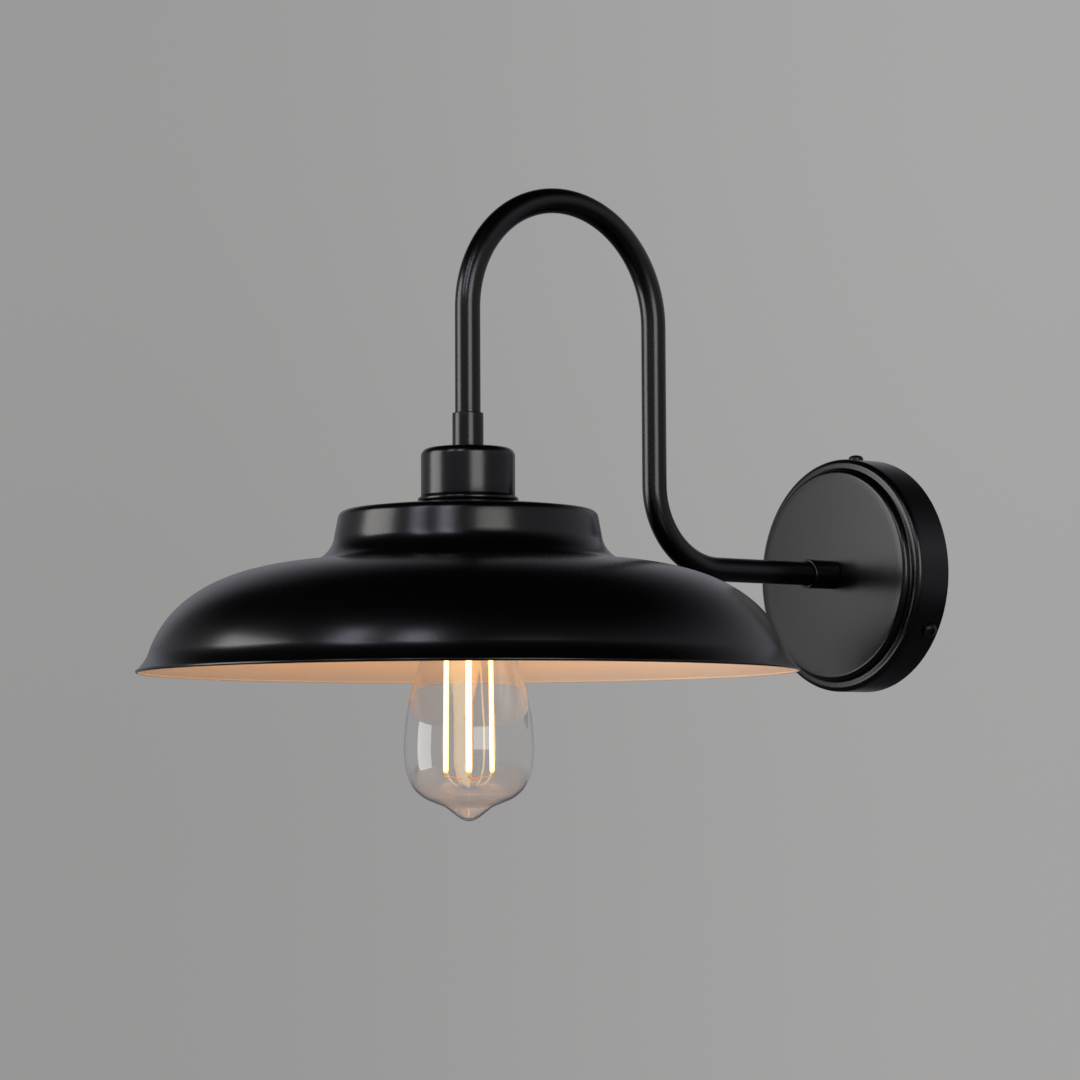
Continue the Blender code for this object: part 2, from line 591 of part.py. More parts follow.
def build_shade_end(axis):
    """What is fixed above the shade: collar, nipple, cup, base ring, washer and nut."""
    collar_low = CUP_TOP + CLEARANCE
    turned("shade_collar", collar_outline(collar_low), FINISH["black"], axis, closed=True)
    corner = arc((CUP_RADIUS - CUP_CORNER, CUP_TOP - CUP_CORNER), CUP_CORNER, 90, 0, 4)
    outline = [(HOLE_RADIUS, CUP_TOP), *corner, (CUP_RADIUS, CUP_TOP - CUP_HEIGHT)]
    turned("socket_cup", outline, FINISH["black"], axis, steps=32, wall=CUP_WALL)
    ring_low = SHADE_TOP + CLEARANCE
    half = BASE_RING_HEIGHT / 2
    inner = SHOULDER_RADIUS + 2 * CLEARANCE
    outline = arc((BASE_RING_RADIUS - half, ring_low + half), half, 90, -90, 6) + [(inner, ring_low)]
    outline.append((inner, ring_low + BASE_RING_HEIGHT))
    turned("cup_base_ring", outline, FINISH["black"], axis, steps=32, closed=True)
    washer_high = CUP_TOP - CUP_WALL - CLEARANCE
    washer_low = washer_high - WASHER_THICKNESS
    sleeve("shade_lock_washer", HOLE_RADIUS, WASHER_RADIUS, washer_low, washer_high, FINISH["zinc"], axis)
    nut_radius = NUT_ACROSS_FLATS / 2 / math.cos(math.pi / 6)
    nut_low = CUP_NUT_HIGH - NUT_THICKNESS
    nut = [circle(nut_radius, 6), circle(HOLE_RADIUS)]
    flat("shade_nut", nut, nut_low, CUP_NUT_HIGH, FINISH["zinc"], axis)
    nipple_low = HOLDER_CAP_HIGH - HOLDER_ROOF
    nipple_high = collar_low + COLLAR_STEP - CLEARANCE
    sleeve("shade_nipple", NIPPLE_BORE, NIPPLE_RADIUS, nipple_low, nipple_high, FINISH["zinc"], axis)


def build_holder(axis):
    """Lampholder: cap with its threaded entry, body with its skirt, insulator, contacts and screws."""
    low = SHOULDER_HIGH + CLEARANCE
    edge = HOLDER_CAP_RADIUS - 2 * MM
    inner = SPIGOT_RADIUS + CLEARANCE
    high = HOLDER_CAP_HIGH
    roof = high - HOLDER_ROOF
    outline = [(9 * MM, high), (9 * MM, high - 2 * MM), (edge, high - 3 * MM)]
    outline += [(HOLDER_CAP_RADIUS, high - 5 * MM), (HOLDER_CAP_RADIUS, low), (inner, low)]
    outline += [(inner, roof), (HOLE_RADIUS, roof), (HOLE_RADIUS, high)]
    turned("holder_cap", outline, FINISH["bakelite"], axis, closed=True)
    spigot_high = SHOULDER_HIGH + SPIGOT_HEIGHT
    outline = [(SPIGOT_RADIUS, spigot_high), (SPIGOT_RADIUS, SHOULDER_HIGH)]
    outline += [(SHOULDER_RADIUS, SHOULDER_HIGH), (SHOULDER_RADIUS, SHOULDER_LOW)]
    outline += [(SKIRT_RADIUS, SHOULDER_LOW), (SKIRT_RADIUS, SKIRT_LOW)]
    outline += [(SKIRT_BORE, SKIRT_LOW), (SKIRT_BORE, spigot_high)]
    turned("holder_body", outline, FINISH["bakelite"], axis, closed=True)

    shell_low = SKIRT_LOW + 5 * MM
    shell_radius = SKIRT_BORE - CLEARANCE
    flange_inner = 8 * MM
    thread_radius = THREAD_MEAN_RADIUS + THREAD_CLEARANCE
    roof = SHELL_HIGH - 0.7 * MM
    outline = [(shell_radius, SHELL_HIGH), (shell_radius, shell_low), *rows(thread_radius, shell_low, roof)]
    outline += [(flange_inner, roof), (flange_inner, SHELL_HIGH)]
    shell = turned("holder_contact_shell", outline, FINISH["brass"], axis, THREAD_STEPS, closed=True)
    settle(shell)
    roll_thread(shell, thread_radius, shell_low, roof)

    rivet = 1.6 * MM
    size = (rivet + CLEARANCE, shell_radius, HOLDER_BASE_LOW, HOLDER_BASE_HIGH)
    insulator = sleeve("holder_insulator", *size, FINISH["porcelain"], axis)
    contact_low = BULB_TIP_HEIGHT + CLEARANCE
    contact_high = contact_low + CONTACT_THICKNESS
    rivet_high = HOLDER_BASE_HIGH - MM
    outline = [(0, rivet_high), (rivet, rivet_high), (rivet, contact_high), (3.5 * MM, contact_high)]
    outline += [(3.5 * MM, contact_low), (0, contact_low)]
    turned("holder_centre_contact", outline, FINISH["brass"], axis, steps=12)
    shank = 1.5 * MM
    for name, side in (("live", -1), ("neutral", 1)):
        x = side * HOLDER_SCREW_SPREAD
        ends = [Vector((x, 0, HOLDER_BASE_HIGH + lift)) for lift in (-6 * MM, 6 * MM)]
        bore = rod(f"screw_bore_{name}", shank + 1.3 * CLEARANCE, *ends, None, axis, group=CUTTERS)
        combine(insulator, bore, "DIFFERENCE")
        head = HOLDER_BASE_HIGH + CLEARANCE
        outline = [(0, HOLDER_SCREW_HIGH), (2.4 * MM, HOLDER_SCREW_HIGH), (2.8 * MM, head), (shank, head)]
        outline += [(shank, HOLDER_BASE_HIGH - 5 * MM), (0, HOLDER_BASE_HIGH - 5 * MM)]
        screw = turned(f"holder_screw_{name}", outline, FINISH["brass"], axis, steps=12)
        screw.location.x = x


def build_shade(axis):
    turned("shade", drum_profile(), FINISH["black"], axis, steps=36, wall=SHADE_WALL)


def build_ring(axis):
    """The threaded ring that clamps the shade against the lampholder's shoulder."""
    slope = DOME_RISE * 0.84 / (DRUM_RADIUS - SHADE_HOLE_RADIUS)
    high = SHADE_TOP - SHADE_WALL - CLEARANCE - slope * (RING_RADIUS - SHADE_HOLE_RADIUS) - 0.2 * MM
    low = high - RING_HEIGHT
    inner = SKIRT_RADIUS + SKIRT_CLEARANCE
    edge = 0.8 * MM
    outline = [(RING_RADIUS, high), (RING_RADIUS, low + edge), (RING_RADIUS - edge, low)]
    outline += [(inner, low), (inner, high)]
    turned("shade_ring", outline, FINISH["bakelite"], axis, steps=32, closed=True)


def glass_profile():
    """The envelope's outline from its neck inside the cap, over the widest part, to the sealed tip."""
    bulge = [(0.49, 0.289), (0.63, 0.373), (0.77, 0.454), (0.872, 0.535), (0.953, 0.62), (0.997, 0.711)]
    lower = [(1, 0.775), (0.956, 0.838), (0.85, 0.889), (0.688, 0.921), (0.488, 0.941)]
    pinch = [(0.369, 0.952), (0.25, 0.972), (0.125, 0.992)]
    shape = [(BULB_RADIUS * across, BULB_LENGTH * down) for across, down in bulge + lower + pinch]
    neck = [(NECK_RADIUS, NECK_DEPTH), (1.02 * NECK_RADIUS, NECK_DEPTH + 5.2 * MM)]
    return [(radius, BULB_TIP_HEIGHT - depth) for radius, depth in [*neck, *shape, (0, BULB_LENGTH)]]


def build_bulb(axis, tip_axis):
    """Filament bulb: cap, its insulator and tip contact, driver, glass, stem and filaments."""
    tip = BULB_TIP_HEIGHT
    outline = [(0, tip), (3.2 * MM, tip - 0.1 * MM), (4.8 * MM, tip - 1.2 * MM), (4.8 * MM, tip - 2 * MM)]
    outline.append((0, tip - 2 * MM))
    turned("bulb_tip_contact", outline, FINISH["nickel"], tip_axis, steps=16)
    bead_high = tip - 2.3 * MM
    bead_low = tip - 4.5 * MM
    outline = [(0, bead_high), (5.2 * MM, bead_high), (10.6 * MM, bead_low), (0, bead_low)]
    turned("bulb_cap_insulator", outline, FINISH["bakelite"], axis, steps=24)

    cap_high = tip - 4.8 * MM
    collar_high = tip - 23.5 * MM
    collar_low = tip - 27 * MM
    collar_inner = NECK_RADIUS + 1.1 * CLEARANCE
    collar_radius = collar_inner + 0.4 * MM
    core = 11.2 * MM
    thread_high = cap_high - 0.8 * MM
    outline = [(10.8 * MM, cap_high), *rows(THREAD_MEAN_RADIUS, thread_high, collar_high + 0.6 * MM)]
    outline += [(collar_radius, collar_high), (collar_radius, collar_low), (collar_inner, collar_low)]
    outline += [(collar_inner, collar_high), (core, collar_high + 0.8 * MM), (core, cap_high - MM)]
    outline += [(8 * MM, cap_high - MM), (8 * MM, cap_high)]
    cap = turned("bulb_cap", outline, FINISH["nickel"], axis, THREAD_STEPS, closed=True)
    settle(cap)
    roll_thread(cap, THREAD_MEAN_RADIUS, collar_high + 0.6 * MM, thread_high)

    board = box("bulb_driver", Vector((13, 1.2, 14)) * MM, (0, 0, tip - 15 * MM), FINISH["circuit"], axis)
    chip_place = (0, 1.8 * MM, tip - 14 * MM)
    chip = box("driver_chip", Vector((6, 3, 5)) * MM, chip_place, None, axis, group=CUTTERS)
    combine(board, chip, "UNION")
    turned("bulb_glass", glass_profile(), FINISH["glass"], axis, steps=24, wall=GLASS_WALL)
    stem = [(0, 26.4), (10.2, 26.4), (10.6, 27.4), (8.6, 29.4), (4.6, 35), (3.2, 42), (3, 49), (1.8, 52)]
    stem.append((0, 52))
    outline = [(radius * MM, tip - depth * MM) for radius, depth in stem]
    turned("bulb_stem", outline, FINISH["glass"], axis, steps=16)
    build_filaments(axis)


def build_filaments(axis):
    """Upright filaments on a ring, joined in a chain by links below and above, with leads from the stem."""
    ends = []
    for i in range(FILAMENT_COUNT):
        angle = FILAMENT_TURN + FULL_TURN * i / FILAMENT_COUNT
        outward = Vector((math.cos(angle), math.sin(angle), 0))
        top = FILAMENT_TOP_SPREAD * outward + Vector((0, 0, FILAMENT_TOP))
        low = FILAMENT_LOW_SPREAD * outward + Vector((0, 0, FILAMENT_LOW))
        rod(f"filament_{i + 1}", FILAMENT_RADIUS, low, top, FINISH["filament"], axis, sides=8)
        ends.append((top, low))
    past_end = Vector((0, 0, CLEARANCE))
    for i in range(0, FILAMENT_COUNT, 2):
        first, second = ends[i][1] - past_end, ends[i + 1][1] - past_end
        middle = 0.3 * (first + second) / 2
        middle.z = FILAMENT_LOW - 2.4 * MM
        drop = Vector((0, 0, -0.9 * MM))
        route = [first, first + drop, middle, second + drop, second]
        wire(f"filament_link_low_{i // 2 + 1}", route, LINK_RADIUS, FINISH["nickel"], axis)
    rise = Vector((0, 0, 0.9 * MM))
    for i in range(1, FILAMENT_COUNT - 1, 2):
        first, second = ends[i][0] + past_end, ends[i + 1][0] + past_end
        route = [first, first + rise, second + rise, second]
        wire(f"filament_link_high_{i // 2 + 1}", route, LINK_RADIUS, FINISH["nickel"], axis)
    for name, i in (("live", 0), ("neutral", FILAMENT_COUNT - 1)):
        top = ends[i][0] + past_end
        root = top * (1.2 * MM / FILAMENT_TOP_SPREAD)
        root.z = -40 * MM - CLEARANCE
        route = [top, top + rise, root + Vector((0, 0, -0.9 * MM)), root]
        wire(f"filament_lead_{name}", route, LINK_RADIUS, FINISH["nickel"], axis)


clear_scene()
PIECES = collection("outdoor_wall_lantern")
CUTTERS = collection("cutters", hidden=True)
FINISH = {
    "black": material("satin_black_paint", (0.012, 0.012, 0.014), 0.34),
    "screw": material("dark_zinc", (0.09, 0.09, 0.095), 0.35, metallic=1),
    "zinc": material("zinc_plated_steel", (0.55, 0.55, 0.53), 0.38, metallic=1),
    "foam": material("black_foam", (0.02, 0.02, 0.02), 0.9),
    "white_plastic": material("white_nylon", (0.75, 0.75, 0.72), 0.5),
    "brass": material("brass", (0.72, 0.5, 0.2), 0.3, metallic=1),
    "bakelite": material("black_bakelite", (0.015, 0.013, 0.012), 0.25),
    "porcelain": material("porcelain", (0.85, 0.83, 0.78), 0.2),
    "nickel": material("nickel_plate", (0.62, 0.6, 0.56), 0.25, metallic=1),
    "glass": material("clear_glass", (1, 1, 1), 0.02, transmission=1),
    "filament": material("lit_filament", (1, 0.62, 0.2), 0.5, glow=8),
    "circuit": material("circuit_board", (0.05, 0.25, 0.1), 0.5),
    "live_core": material("brown_insulation", (0.16, 0.06, 0.03), 0.5),
    "neutral_core": material("blue_insulation", (0.03, 0.12, 0.45), 0.5),
    "earth_core": material("green_insulation", (0.1, 0.4, 0.08), 0.5),
}
WALL_FRAME = frame("wall_frame", (0, 0, 0), (math.pi / 2, 0, 0))
SHADE_AXIS = frame("shade_axis", (0, -REACH, 0))
DROP_AXIS = frame("shade_drop_axis", (0, -REACH, 0))
RING_AXIS = frame("ring_turn_axis", (0, -REACH, 0))
TIP_AXIS = frame("bulb_travel_axis", (0, -REACH, 0))
BULB_AXIS = frame("bulb_turn_axis", (0, -REACH, 0))

build_mounting(WALL_FRAME)
build_canopy(WALL_FRAME)
build_arm()
build_wiring()
build_shade_end(SHADE_AXIS)
build_holder(SHADE_AXIS)
build_shade(DROP_AXIS)
build_ring(RING_AXIS)
build_bulb(BULB_AXIS, TIP_AXIS)
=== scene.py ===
"""Outdoor wall lantern: smooth surfaces, finishes, lights and camera over the lantern's CAD frame."""

import json
import math

import bmesh
import bpy
import numpy as np
from mathutils import Matrix, Vector


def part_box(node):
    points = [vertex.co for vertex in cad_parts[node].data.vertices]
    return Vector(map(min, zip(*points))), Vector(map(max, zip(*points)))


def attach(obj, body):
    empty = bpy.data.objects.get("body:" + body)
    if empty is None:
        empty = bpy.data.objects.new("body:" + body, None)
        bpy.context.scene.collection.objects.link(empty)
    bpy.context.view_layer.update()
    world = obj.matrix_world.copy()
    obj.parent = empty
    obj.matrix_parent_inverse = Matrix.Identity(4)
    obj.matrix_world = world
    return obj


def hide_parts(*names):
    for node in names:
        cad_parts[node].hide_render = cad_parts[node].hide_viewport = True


MM = 0.001
X, Y, Z = np.eye(3)

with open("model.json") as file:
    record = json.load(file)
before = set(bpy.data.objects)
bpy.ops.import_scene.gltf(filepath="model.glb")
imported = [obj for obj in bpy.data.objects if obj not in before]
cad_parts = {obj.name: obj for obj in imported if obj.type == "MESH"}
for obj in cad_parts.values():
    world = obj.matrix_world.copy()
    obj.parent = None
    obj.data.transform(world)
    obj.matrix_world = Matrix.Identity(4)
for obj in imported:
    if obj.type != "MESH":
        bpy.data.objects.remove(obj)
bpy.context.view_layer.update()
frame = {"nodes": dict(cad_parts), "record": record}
NODES = frame["nodes"]


def low_high(node):
    """A node's lowest and highest corners as two arrays."""
    low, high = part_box(node)
    return np.array(low), np.array(high)


# Where the main pieces are.
SHADE_LOW, SHADE_HIGH = low_high("shade")
SHADE_AXIS = np.array([0, (SHADE_LOW[1] + SHADE_HIGH[1]) / 2, 0])
SHADE_TOP = SHADE_HIGH[2]
LIP_RADIUS = SHADE_HIGH[0]
CANOPY_LOW, CANOPY_HIGH = low_high("canopy")
CANOPY_RADIUS = CANOPY_HIGH[0]
CANOPY_DEPTH = -CANOPY_LOW[1]
CANOPY_BACK = -CANOPY_HIGH[1]
TUBE_HIGH = low_high("arm_tube")[1]
TUBE_RADIUS = TUBE_HIGH[0]

# Sizes that several pieces share.
TUBE_WALL = 1.0 * MM
CLEARANCE = 0.3 * MM  # kept between pieces that touch on the real lantern
NIPPLE_HOLE = 5.3 * MM  # radius of every hole that a nipple goes through
RISER_REACH = 150 * MM  # wall to the riser's axis
CAP_PITCH = 3.629 * MM  # of the bulb's thread
SKIRT_PITCH = 2.5 * MM  # of the lampholder's outer thread


# ---- Finishes -------------------------------------------------------------------------------------


class Value:
    """One output of a node tree. Ordinary sums of these add Math nodes to the tree."""

    def __init__(self, socket):
        self.socket = socket

    def maths(self, operation, *others):
        made = self.socket.id_data.nodes.new("ShaderNodeMath")
        made.operation = operation
        for slot, value in zip(made.inputs, (self, *others)):
            plug(slot, value)
        return Value(made.outputs[0])

    def __add__(self, other):
        return self.maths("ADD", other)

    def __sub__(self, other):
        return self.maths("SUBTRACT", other)

    def __rsub__(self, other):
        return (self * -1) + other

    def __mul__(self, other):
        return self.maths("MULTIPLY", other)

    __radd__ = __add__
    __rmul__ = __mul__

    def step(self, start, end):
        """0 below start, 1 above end, and smooth between."""
        made = self.socket.id_data.nodes.new("ShaderNodeMapRange")
        made.interpolation_type = "SMOOTHSTEP"
        plug(made.inputs["Value"], self)
        plug(made.inputs["From Min"], start)
        plug(made.inputs["From Max"], end)
        return Value(made.outputs[0])


def plug(slot, value):
    """Joins a Value to an input, or sets the input to a constant."""
    if isinstance(value, Value):
        value.socket.id_data.links.new(value.socket, slot)
    else:
        slot.default_value = value


class Tree:
    """A node tree that nodes are added to by kind."""

    def __init__(self, tree):
        self.tree = tree
        tree.nodes.clear()

    def add(self, kind, inputs=(), output=0, **settings):
        made = self.tree.nodes.new("ShaderNode" + kind)
        for key, value in settings.items():
            setattr(made, key, value)
        for key, value in dict(inputs).items():
            plug(made.inputs[key], value)
        return Value(made.outputs[output])

    def place(self):
        return self.add("TexCoord", output="Object")

    def noise(self, scale, detail=3, roughness=0.55):
        inputs = {"Vector": self.place(), "Scale": scale, "Detail": detail, "Roughness": roughness}
        return self.add("TexNoise", inputs)

    def speckle(self, scale):
        return self.add("TexVoronoi", {"Vector": self.place(), "Scale": scale}, output="Distance")

    def blend(self, share, first, second):
        """A mix of two colours. A Mix node takes colours at inputs 6 and 7 and gives them at output 2."""
        inputs = {0: share, 6: first, 7: second}
        return self.add("Mix", inputs, output=2, data_type="RGBA")

    def bump(self, height, distance, strength=1.0, normal=None):
        inputs = {"Height": height, "Distance": distance, "Strength": strength}
        if normal:
            inputs["Normal"] = normal
        return self.add("Bump", inputs)

    def finish(self, surface):
        output = self.tree.nodes.new("ShaderNodeOutputMaterial")
        plug(output.inputs["Surface"], surface)


def rgb(red, green, blue):
    return (red, green, blue, 1.0)


def finish(name):
    """A new material and its empty tree."""
    made = bpy.data.materials.new(name)
    made.use_nodes = True
    return made, Tree(made.node_tree)


def varied(name, light, dark, rough, grain, depth, metallic=0.0, cloud=14):
    """A solid finish: two close colours in soft clouds, roughness that drifts, and a finely grained surface.

    light and dark are the colours, rough the lowest and highest roughness, grain the scale of the bumps and
    depth their height in metres, and cloud the scale of the clouds.
    """
    made, tree = finish(name)
    clouds = tree.noise(cloud, detail=4)
    fine = tree.noise(grain, detail=2)
    drift = tree.noise(cloud * 5, detail=3)
    colour = tree.blend(clouds.step(0.35, 0.65) * 0.75 + fine * 0.25, rgb(*dark), rgb(*light))
    roughness = rough[0] + (rough[1] - rough[0]) * (drift.step(0.3, 0.7) * 0.7 + fine * 0.3)
    inputs = {
        "Base Color": colour,
        "Roughness": roughness,
        "Metallic": metallic,
        "Normal": tree.bump(fine, depth),
    }
    tree.finish(tree.add("BsdfPrincipled", inputs))
    return made


def black_paint():
    """Satin black powder coat: faint orange peel, fine grain, thin dust on what faces up, small scuffs."""
    made, tree = finish("satin_black_coat")
    peel = tree.noise(420, detail=2, roughness=0.4)
    grain = tree.speckle(2600)
    clouds = tree.noise(9, detail=4)
    scuffs = tree.noise(60, detail=6, roughness=0.7).step(0.68, 0.80)
    facing = tree.add("SeparateXYZ", {0: tree.add("NewGeometry", output="Normal")}, output="Z")
    dust = facing.step(0.55, 1.0) * clouds.step(0.35, 0.75) * tree.noise(900, detail=1).step(0.5, 0.75)
    deep = tree.blend(clouds, rgb(0.0005, 0.0005, 0.0007), rgb(0.0011, 0.0010, 0.0013))
    worn = tree.blend(scuffs * 0.5, deep, rgb(0.005, 0.005, 0.005))
    colour = tree.blend(dust * 0.12, worn, rgb(0.020, 0.019, 0.018))
    roughness = 0.205 + clouds * 0.04 + scuffs * 0.05 + dust * 0.10 + grain * 0.02
    rolled = tree.bump(peel, 0.05 * MM, 0.35)
    inputs = {
        "Base Color": colour,
        "Roughness": roughness,
        "IOR": 1.5,
        "Normal": tree.bump(grain, 0.006 * MM, 0.5, rolled),
    }
    tree.finish(tree.add("BsdfPrincipled", inputs))
    return made


def white_enamel():
    """Warm white enamel sprayed inside the shade, a little thin and speckled."""
    made, tree = finish("white_enamel_lining")
    clouds = tree.noise(11, detail=4)
    speck = tree.speckle(700).step(0.05, 0.16)
    peel = tree.noise(500, detail=2)
    colour = tree.blend(clouds, rgb(0.81, 0.73, 0.63), rgb(0.86, 0.79, 0.69))
    colour = tree.blend((1 - speck) * 0.18, colour, rgb(0.55, 0.50, 0.44))
    inputs = {
        "Base Color": colour,
        "Roughness": 0.40 + clouds * 0.12,
        "Normal": tree.bump(peel, 0.04 * MM, 0.4),
    }
    tree.finish(tree.add("BsdfPrincipled", inputs))
    return made


def blown_glass():
    """Clear blown glass with the faintest smoke to it; light passes straight through to what is inside."""
    made, tree = finish("clear_bulb_glass")
    ripple = tree.noise(38, detail=2)
    smears = tree.noise(70, detail=5, roughness=0.65).step(0.52, 0.75)
    colour = tree.blend(tree.noise(25), rgb(0.975, 0.97, 0.96), rgb(1.0, 0.995, 0.99))
    inputs = {
        "Base Color": colour,
        "Roughness": smears * 0.015,
        "IOR": 1.6,
        "Transmission Weight": 1.0,
        "Normal": tree.bump(ripple, 0.25 * MM, 0.3),
    }
    glass = tree.add("BsdfPrincipled", inputs)
    clear = tree.add("BsdfTransparent", {"Color": rgb(0.97, 0.96, 0.94)})
    diffuse = tree.add("LightPath", output="Is Diffuse Ray")
    passing = tree.add("LightPath", output="Is Shadow Ray").maths("MAXIMUM", diffuse)
    tree.finish(tree.add("MixShader", {0: passing, 1: glass, 2: clear}))
    return made


def glowing_filament():
    """Phosphor on a lit strip: yellow skin, a hot middle, and darker orange ends."""
    made, tree = finish("lit_phosphor")
    along = tree.add("SeparateXYZ", {0: tree.add("UVMap", uv_map="along")}, output="Y")
    inside = (along - 0.5).maths("ABSOLUTE").step(0.5, 0.46)
    mottle = tree.noise(900, detail=2)
    edge = tree.add("LayerWeight", {"Blend": 0.35}, output="Facing").step(0.12, 0.6)
    hot = tree.blend(edge, rgb(1.0, 0.78, 0.36), rgb(1.0, 0.40, 0.03))
    glow = tree.blend((1 - inside) * 0.9 + mottle * 0.05, hot, rgb(0.30, 0.08, 0.008))
    inputs = {
        "Base Color": tree.blend(mottle, rgb(0.95, 0.55, 0.12), rgb(1.0, 0.66, 0.20)),
        "Roughness": 0.5 + mottle * 0.1,
        "Emission Color": glow,
        "Emission Strength": 3.2,
        "Normal": tree.bump(mottle, 0.05 * MM, 0.3),
    }
    tree.finish(tree.add("BsdfPrincipled", inputs))
    made.cycles.emission_sampling = "NONE"
    return made


def painted_glow_wire():
    """Bare nickel wire, tinted orange and given a faint painted glow, both standing in for the warm light of
    the filaments next to it.
    """
    made, tree = finish("nickel_wire_painted_glow")
    mottle = tree.noise(700, detail=3)
    inputs = {
        # Painted light: the orange tint stands in for the filaments' warm light on the wire.
        "Base Color": tree.blend(mottle, rgb(0.75, 0.42, 0.16), rgb(0.86, 0.55, 0.25)),
        "Metallic": 0.9,
        "Roughness": 0.28 + mottle * 0.15,
        # Painted glow: the wire is no lamp, and this emission stands in for the filaments' light on it.
        "Emission Color": rgb(0.9, 0.30, 0.04),
        "Emission Strength": 0.28,
        "Normal": tree.bump(mottle, 0.02 * MM, 0.3),
    }
    tree.finish(tree.add("BsdfPrincipled", inputs))
    made.cycles.emission_sampling = "NONE"
    return made


BLACK = black_paint()
ENAMEL = white_enamel()
GLASS = blown_glass()
PHOSPHOR = glowing_filament()
# The lead wires' finish, with a painted orange tint and painted glow for the filaments' light.
PAINTED_GLOW_WIRE = painted_glow_wire()
SCREW_BLACK = varied(
    "blackened_screw", (0.030, 0.030, 0.032), (0.012, 0.012, 0.013), (0.26, 0.42), 3000, 0.01 * MM, 0.7
)
ZINC = varied("zinc_plate", (0.62, 0.62, 0.60), (0.42, 0.42, 0.42), (0.26, 0.46), 900, 0.02 * MM, 1.0, 60)
FOAM = varied("closed_cell_foam", (0.035, 0.035, 0.034), (0.010, 0.010, 0.010), (0.8, 0.98), 1400, 0.25 * MM)
NYLON = varied("moulded_nylon", (0.80, 0.80, 0.76), (0.68, 0.68, 0.64), (0.42, 0.58), 1200, 0.03 * MM)
BRASS = varied("drawn_brass", (0.80, 0.56, 0.24), (0.58, 0.38, 0.14), (0.18, 0.36), 800, 0.02 * MM, 1.0, 70)
BAKELITE = varied(
    "moulded_phenolic", (0.022, 0.019, 0.017), (0.009, 0.008, 0.007), (0.24, 0.4), 1500, 0.02 * MM
)
PORCELAIN = varied("glazed_porcelain", (0.88, 0.86, 0.81), (0.80, 0.77, 0.71), (0.1, 0.24), 500, 0.03 * MM)
NICKEL = varied(
    "nickel_plate", (0.68, 0.65, 0.60), (0.52, 0.49, 0.44), (0.16, 0.34), 900, 0.015 * MM, 1.0, 70
)
BOARD = varied("solder_masked_board", (0.05, 0.25, 0.10), (0.03, 0.17, 0.06), (0.3, 0.45), 1500, 0.03 * MM)
BROWN = varied("brown_insulation", (0.18, 0.07, 0.035), (0.13, 0.045, 0.02), (0.4, 0.52), 1500, 0.03 * MM)
BLUE = varied("blue_insulation", (0.035, 0.13, 0.48), (0.025, 0.09, 0.36), (0.4, 0.52), 1500, 0.03 * MM)
GREEN = varied("green_insulation", (0.11, 0.42, 0.09), (0.07, 0.31, 0.05), (0.4, 0.52), 1500, 0.03 * MM)
FINISHES = {
    "satin_black_paint": BLACK,
    "dark_zinc": SCREW_BLACK,
    "zinc_plate": ZINC,
    "black_foam": FOAM,
    "white_nylon": NYLON,
    "brass": BRASS,
    "black_bakelite": BAKELITE,
    "porcelain": PORCELAIN,
    "nickel_plate": NICKEL,
    "clear_glass": GLASS,
    "lit_filament": PHOSPHOR,
    "circuit_board": BOARD,
    "brown_insulation": BROWN,
    "blue_insulation": BLUE,
    "green_insulation": GREEN,
}


# ---- Surfaces -------------------------------------------------------------------------------------


def arc(centre, radius, start, end, steps):
    """Points on a circle: centre + radius (cos a, sin a), with a in even steps from start to end degrees."""
    angle = np.radians(np.linspace(start, end, steps))
    return np.column_stack((centre[0] + radius * np.cos(angle), centre[1] + radius * np.sin(angle)))


def line(start, end, steps):
    """Points in even steps between two points, leaving out the second."""
    share = np.linspace(0, 1, steps, endpoint=False)[:, None]
    return np.array(start) * (1 - share) + np.array(end) * share


def inward(outline, wall):
    """An outline moved sideways: each point goes by wall along the normal on the right of its path."""
    along = np.gradient(outline, axis=0)
    along /= np.linalg.norm(along, axis=1)[:, None]
    return outline + wall * np.column_stack((along[:, 1], -along[:, 0]))


def curve_through(points, steps):
    """A smooth curve through points: a cubic between each pair, with each slope taken from its neighbours."""
    points = np.array(points, float)
    gap = np.linalg.norm(np.diff(points, axis=0), axis=1)
    place = np.concatenate(([0], np.cumsum(gap)))
    slope = np.gradient(points, place, axis=0)
    at = np.linspace(0, place[-1], steps)
    i = np.clip(np.searchsorted(place, at, side="right") - 1, 0, len(points) - 2)
    t = ((at - place[i]) / gap[i])[:, None]
    first, second = points[i], points[i + 1]
    rise, fall = slope[i] * gap[i][:, None], slope[i + 1] * gap[i][:, None]
    return (
        (2 * t**3 - 3 * t**2 + 1) * first
        + (t**3 - 2 * t**2 + t) * rise
        + (3 * t**2 - 2 * t**3) * second
        + (t**3 - t**2) * fall
    )


